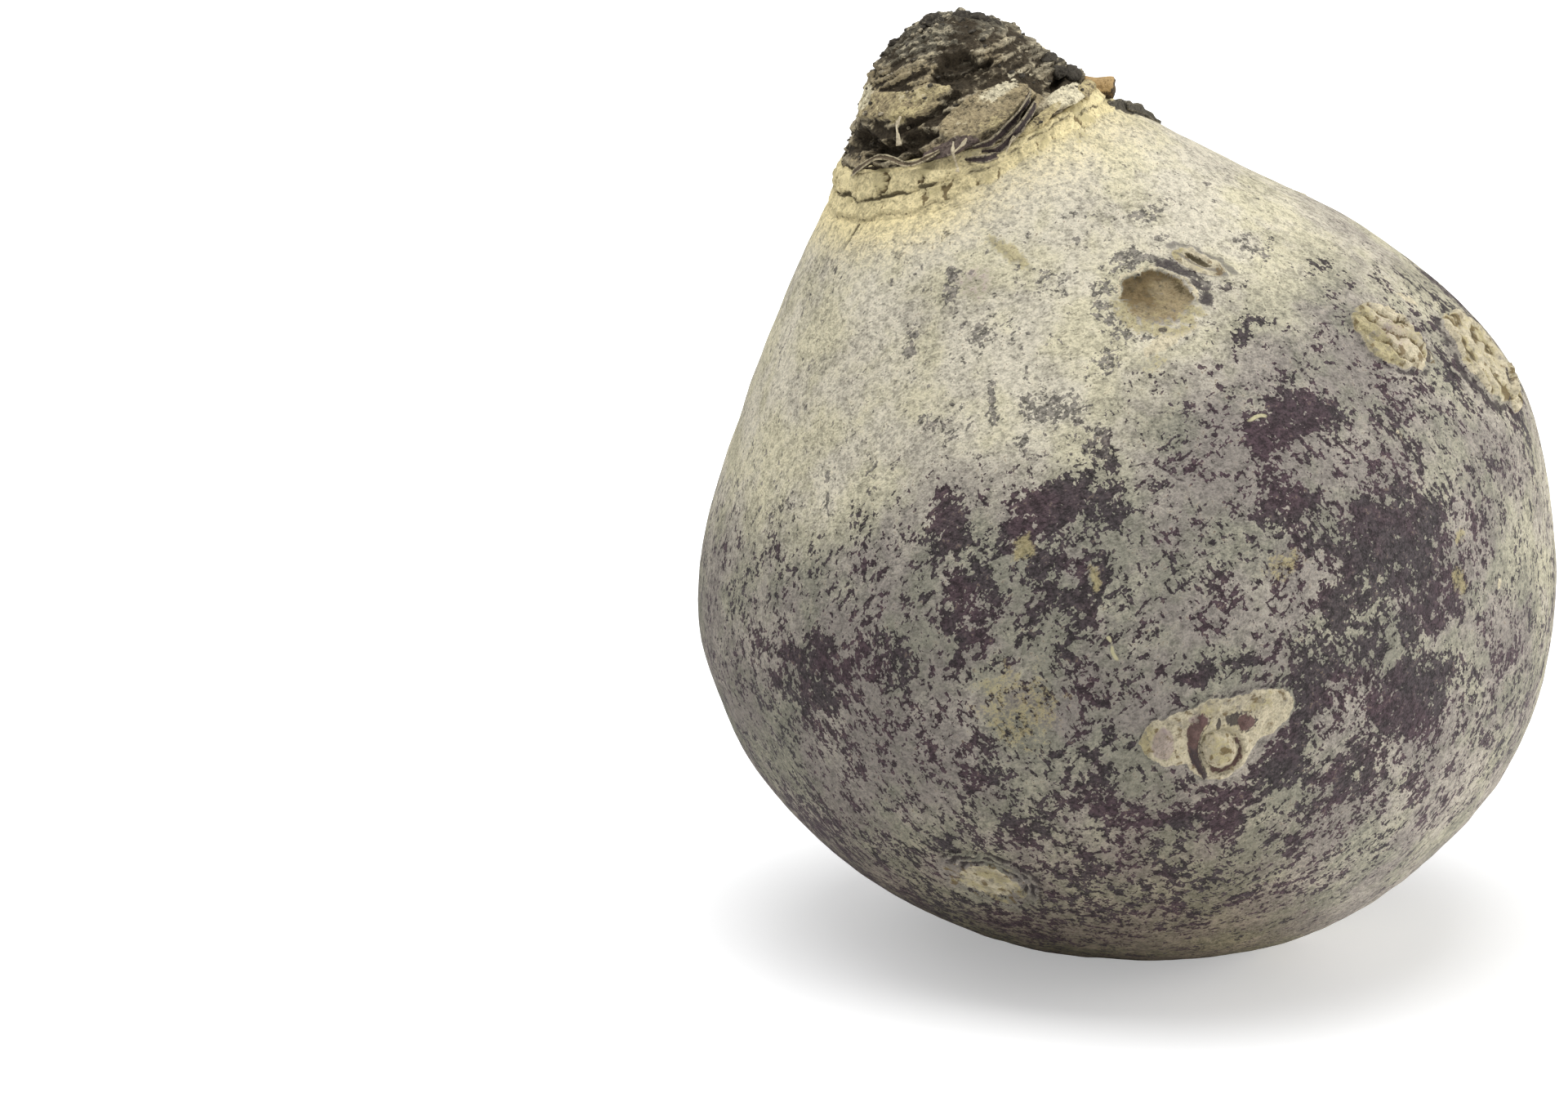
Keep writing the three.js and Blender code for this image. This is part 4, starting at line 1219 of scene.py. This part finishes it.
def skin_finish():
    material, nodes, shader = new_finish("Corky skin", 0.8, 0.15)
    place, mask = nodes.place(), {name: nodes.mask(name) for name in SKIN_MASKS}
    grain = nodes.use(GRAIN, Place=place, Size=1.0)
    broad = nodes.noise(place, 9, 3.0, 0.65, "Color")
    drift_tone, drift_hue, drift_way = nodes.add("ShaderNodeSeparateColor", {"Color": broad}).outputs

    grey = nodes.blend(nodes.fade(drift_hue, 0.42, 0.6), (0.268, 0.239, 0.209), (0.258, 0.246, 0.194))
    cream = nodes.blend(nodes.fade(drift_hue, 0.4, 0.62), (0.555, 0.51, 0.405), (0.55, 0.505, 0.36))
    creamy = nodes.math("ADD", mask["cream"], nodes.fade(drift_tone, 0.3, 0.7, -0.2, 0.2))
    creamy = nodes.plus(creamy, grain["Tone"], 0.12, clamp=True)
    contrast = nodes.fade(creamy, 0.3, 1.0, 0.38, 0.42)
    tone = nodes.plus(nodes.fade(drift_tone, 0.3, 0.7, 0.9, 1.05), grain["Tone"], contrast)
    coat = times(nodes, nodes.blend(creamy, grey, cream), tone)
    # Painted shade: the coat is darkened towards the bottom and on the left.
    coat = nodes.blend(nodes.math("MULTIPLY", mask["painted_shade"], 0.6), coat, (0.66, 0.56, 0.38), "MULTIPLY")

    aubergine = nodes.blend(nodes.fade(drift_hue, 0.4, 0.6), (0.045, 0.026, 0.033), (0.037, 0.028, 0.032))
    under = nodes.blend(nodes.fade(creamy, 0.45, 0.95), aubergine, (0.17, 0.155, 0.13))
    under = times(nodes, under, nodes.fade(grain["Tone"], -0.8, 0.8, 0.55, 1.75))
    slant = nodes.fade(drift_way, 0.42, 0.58)
    bare = nodes.use(RAGGED, Place=place, Level=mask["rubbed"], Slant=slant)["Mask"]
    wander = nodes.vector("SUBTRACT", nodes.noise(place, 2, 1.0, 0.5, "Color"), (0.5, 0.5, 0.5))
    wandering = nodes.vector("ADD", place, nodes.vector("SCALE", wander, Scale=1.2))
    lines, streaks = (marked(nodes, wandering, DARK_LINES, 0.32), marked(nodes, wandering, DARK_STREAKS, 0.8))
    patchy = nodes.fade(grain["Tone"], 0.3, -0.3, 0.35, 1.0)
    drawn = nodes.math("MULTIPLY", nodes.math("MAXIMUM", lines, streaks), patchy)
    bare = nodes.math("MAXIMUM", bare, drawn)
    colour = nodes.blend(nodes.math("MULTIPLY", bare, 0.94), coat, under)

    gradual, sharp, speckled = (0.1, 0.1, 0.85), (0.08, 0.4, 0.58), (0.42, 0.25, 0.8)
    layers = [  # mask, strength, colour, and how its edge breaks up: the share of the grain, start and end
        ("collar", 0.88, (0.72, 0.61, 0.335), gradual), ("cork", 0.95, (0.54, 0.475, 0.335), sharp),
        ("floor", 1.0, (0.27, 0.215, 0.125), speckled), ("ochre", 0.75, (0.35, 0.30, 0.155), speckled),
        ("halo", 0.75, (0.14, 0.13, 0.12), speckled), ("tint", 0.6, (0.30, 0.23, 0.23), speckled),
        ("brown", 0.85, (0.135, 0.095, 0.045), speckled), ("flesh", 0.95, (0.105, 0.060, 0.058), speckled),
        ("crack", 0.9, (0.07, 0.055, 0.03), speckled), ("dark", 0.9, (0.055, 0.045, 0.045), speckled),
    ]
    for name, strength, paint, (uneven, start, end) in layers:
        share = nodes.fade(nodes.plus(mask[name], grain["Tone"], uneven), start, end, 0.0, strength)
        colour = nodes.blend(share, colour, times(nodes, paint, tone))
    colour = nodes.blend(marked(nodes, wandering, PALE_LINES, 0.5), colour, (0.48, 0.44, 0.27))
    nodes.plug(shader, {"Roughness": nodes.fade(bare, 0.0, 1.0, 0.9, 0.6)})
    grained(nodes, shader, colour, grain, 0.85)
    return material


body.data.materials.append(skin_finish())
neck_collar.data.materials.append(body.data.materials[0])
print("the skin's finish has", len(body.data.materials[0].node_tree.nodes), "nodes")

# %% [markdown]
# ## The bark's finish
#
# Dead leaf bases are brown-black where they are weathered, tan where the inner tissue shows, and whitish
# where cork has grown over them. What lies deep is painted darker still, as painted shade, and the crests are
# painted pale, partly as wear and partly as painted highlight. Geometry's Pointiness could find the crests,
# but only as finely as the faces are cut, so the finish reads the mask of crests that was saved with the
# relief.
# The grain group is used again.

# %% Build the bark's finish
def bark_finish():
    material, nodes, shader = new_finish("Old bark", 0.85, 0.2)
    place = nodes.place()
    mask = {name: nodes.mask(name) for name in CAP_MASKS}
    grain = nodes.use(GRAIN, Place=place, Size=0.9)
    broad = nodes.noise(place, 2.6, 4.0, 0.7)
    crest_wear_and_shade = nodes.plus(mask["crest_wear_and_shade"], grain["Tone"], 0.12)
    weathered = nodes.blend(nodes.fade(broad, 0.38, 0.62), (0.24, 0.195, 0.12), (0.40, 0.345, 0.235))
    weathered = nodes.blend(nodes.math("MULTIPLY", mask["black"], 0.85), weathered, (0.085, 0.078, 0.060))
    # Painted shade: the hollows go near black. Painted highlight and wear: the crests go pale.
    colour = nodes.blend(nodes.fade(crest_wear_and_shade, 0.3, 0.72), (0.052, 0.040, 0.025), weathered)
    colour = nodes.blend(nodes.fade(crest_wear_and_shade, 0.8, 0.98, 0.0, 0.7), colour, (0.42, 0.37, 0.26))
    layers = [
        ("tan", 0.9, (0.31, 0.25, 0.145)), ("ochre", 0.7, (0.47, 0.395, 0.205)),
        ("purple", 0.9, (0.085, 0.06, 0.056)), ("pale", 0.9, (0.60, 0.54, 0.38)),
    ]
    for name, strength, paint in layers:
        torn = nodes.plus(mask[name], grain["Tone"], 0.3)
        torn = nodes.math("ADD", torn, nodes.fade(broad, 0.3, 0.7, -0.3, 0.3))
        # The coloured tissue shows only on the crests, so the hollows keep their painted shade.
        torn = nodes.math("MULTIPLY", torn, nodes.fade(crest_wear_and_shade, 0.2, 0.6))
        colour = nodes.blend(nodes.fade(torn, 0.2, 0.8, 0.0, strength), colour, paint)
    grained(nodes, shader, times(nodes, colour, nodes.plus(1.0, grain["Tone"], 0.5)), grain, 1.0)
    return material


crown.data.materials.append(bark_finish())
print("the bark's finish has", len(crown.data.materials[0].node_tree.nodes), "nodes")


# %% Dry and withered stalk
def stalk_finish(name, body_colour, edge_colour, dark, rough):
    """Fibrous dead stalk: one colour in the middle, another along its edges, and dark specks. On the cut stub
    the edge mask holds its underside instead, so there the second colour is painted shade.
    """
    material, nodes, shader = new_finish(name, rough, 0.25)
    grain = nodes.use(GRAIN, Place=nodes.place(), Size=0.6)
    share = nodes.plus(nodes.mask("edge"), grain["Tone"], 0.3)
    colour = nodes.blend(nodes.fade(share, 0.25, 0.75), body_colour, edge_colour)
    colour = nodes.blend(nodes.fade(grain["Tone"], 0.1, -0.6, 0.0, 0.7), colour, dark)
    grained(nodes, shader, colour, grain, 0.7)
    return material


STALK_FINISHES = [  # piece, name, colours of the middle, the edges and the specks, roughness
    (lip, "Dry stalk", (0.14, 0.105, 0.065), (0.50, 0.43, 0.28), (0.05, 0.036, 0.02), 0.7),
    (fibres, "Bleached fibre", (0.66, 0.58, 0.42), (0.60, 0.52, 0.36), (0.35, 0.28, 0.17), 0.7),
    (remnant, "Withered stalk", (0.055, 0.038, 0.036), (0.30, 0.255, 0.17), (0.02, 0.015, 0.012), 0.65),
    (scrap, "Withered scrap", (0.085, 0.075, 0.055), (0.16, 0.14, 0.10), (0.025, 0.02, 0.013), 0.75),
    # On the cut stub the colour for the edges is the painted shade of its underside.
    (stub_piece, "Cut stub", (0.46, 0.31, 0.14), (0.045, 0.032, 0.02), (0.2, 0.125, 0.05), 0.7),
    (crumbs_piece, "Bark crumbs", (0.06, 0.052, 0.04), (0.42, 0.36, 0.25), (0.02, 0.016, 0.012), 0.85),
]
for piece, *look in STALK_FINISHES:
    piece.data.materials.append(stalk_finish(*look))
print("finishes:", [finish.name for finish in bpy.data.materials])

# %% [markdown]
# ## The stage
#
# The beetroot stands on a plain pale floor under one large soft light from above. Three weaker ones stand
# at the right, low at the right front, and at the left. Away from the root the floor is brightened for the
# camera alone, so that it ends in white and still takes the shadow. Near its right side the floor also glows
# a little for everything else, as a white card there would, but a card would itself be in view. The camera
# is far away with a long lens, which keeps the shape from bulging, and looks down by 14 degrees.

# %% The floor
FLOOR_TONE = 0.86
shape = bmesh.new()
bmesh.ops.create_grid(shape, x_segments=1, y_segments=1, size=6)
floor_mesh = bpy.data.meshes.new("pale_floor")
shape.to_mesh(floor_mesh)
shape.free()
floor = bpy.data.objects.new("pale_floor", floor_mesh)
bpy.context.scene.collection.objects.link(floor)
floor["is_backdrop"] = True
finish, nodes, shader = new_finish("Pale floor", 0.7, 0.1)
place = nodes.place()
away = nodes.vector("LENGTH", place)
to_the_right = nodes.add("ShaderNodeSeparateXYZ", {"Vector": place}).outputs[0]
near_right = nodes.math("MULTIPLY", nodes.fade(to_the_right, 0, 30, 0, 0.5), nodes.fade(away, 50, 110, 1, 0))
whitening = nodes.math("SUBTRACT", nodes.fade(away, 40, 300, 0.36, 0.8), near_right)
seen = nodes.add("ShaderNodeLightPath").outputs["Is Camera Ray"]
nodes.plug(shader, {
    "Base Color": (FLOOR_TONE, FLOOR_TONE, FLOOR_TONE, 1), "Emission Color": (1, 1, 1, 1),
    "Emission Strength": nodes.plus(near_right, seen, whitening),
})
finish.cycles.emission_sampling = "NONE"
floor_mesh.materials.append(finish)
print("floor:", [round(side) for side in floor.dimensions], "m")

# %% Pale air all round, which the camera sees as white
world = bpy.data.worlds.new("Pale room")
bpy.context.scene.world = world
world.use_nodes = True
nodes = Nodes(world.node_tree)
seen = nodes.add("ShaderNodeLightPath").outputs["Is Camera Ray"]
strength = nodes.fade(seen, 0.0, 1.0, 0.36, 1.05)
air = nodes.add("ShaderNodeBackground", {"Color": (0.95, 0.97, 1.0, 1), "Strength": strength})
nodes.add("ShaderNodeOutputWorld", {"Surface": air.outputs[0]})
print("world:", world.name)


# %% Lights and camera
def soft_light(name, at, size, power):
    """A square area light that looks at the middle of the beetroot."""
    lamp = bpy.data.lights.new(name, "AREA")
    lamp.size, lamp.energy = size, power
    light = bpy.data.objects.new(name, lamp)
    light.location = at
    light.rotation_euler = (Vector((0, 0, 0.05)) - Vector(at)).to_track_quat("-Z", "Y").to_euler()
    bpy.context.scene.collection.objects.link(light)


LIGHTS = [  # name, place and width in metres, power in watts
    ("overhead_light", (-0.04, -0.12, 0.95), 0.8, 8.0), ("right_light", (0.62, 0.02, 0.03), 0.5, 4.2),
    ("low_light", (0.42, -0.42, 0.02), 0.3, 1.1), ("left_light", (-0.6, 0.1, 0.75), 0.5, 1.6),
]
for measures in LIGHTS:
    soft_light(*measures)
LOOK_DOWN = 14
lens = bpy.data.cameras.new("camera")
lens.lens, lens.sensor_width = 162.5, 36
camera = bpy.data.objects.new("camera", lens)
camera.location = (-0.04288, -0.76366, 0.23468)
camera.rotation_euler = (math.radians(90 - LOOK_DOWN), 0, 0)
bpy.context.scene.collection.objects.link(camera)
bpy.context.scene.camera = camera
bpy.context.scene.view_settings.view_transform = "Standard"
print("camera looks down by", LOOK_DOWN, "degrees from", [round(side, 3) for side in camera.location])

# %% [markdown]
# ## The bounds of what is shown
#
# The box round everything that is shown, the floor left out, is worked out.

# %% Work out the bounds of what is shown
low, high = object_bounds()
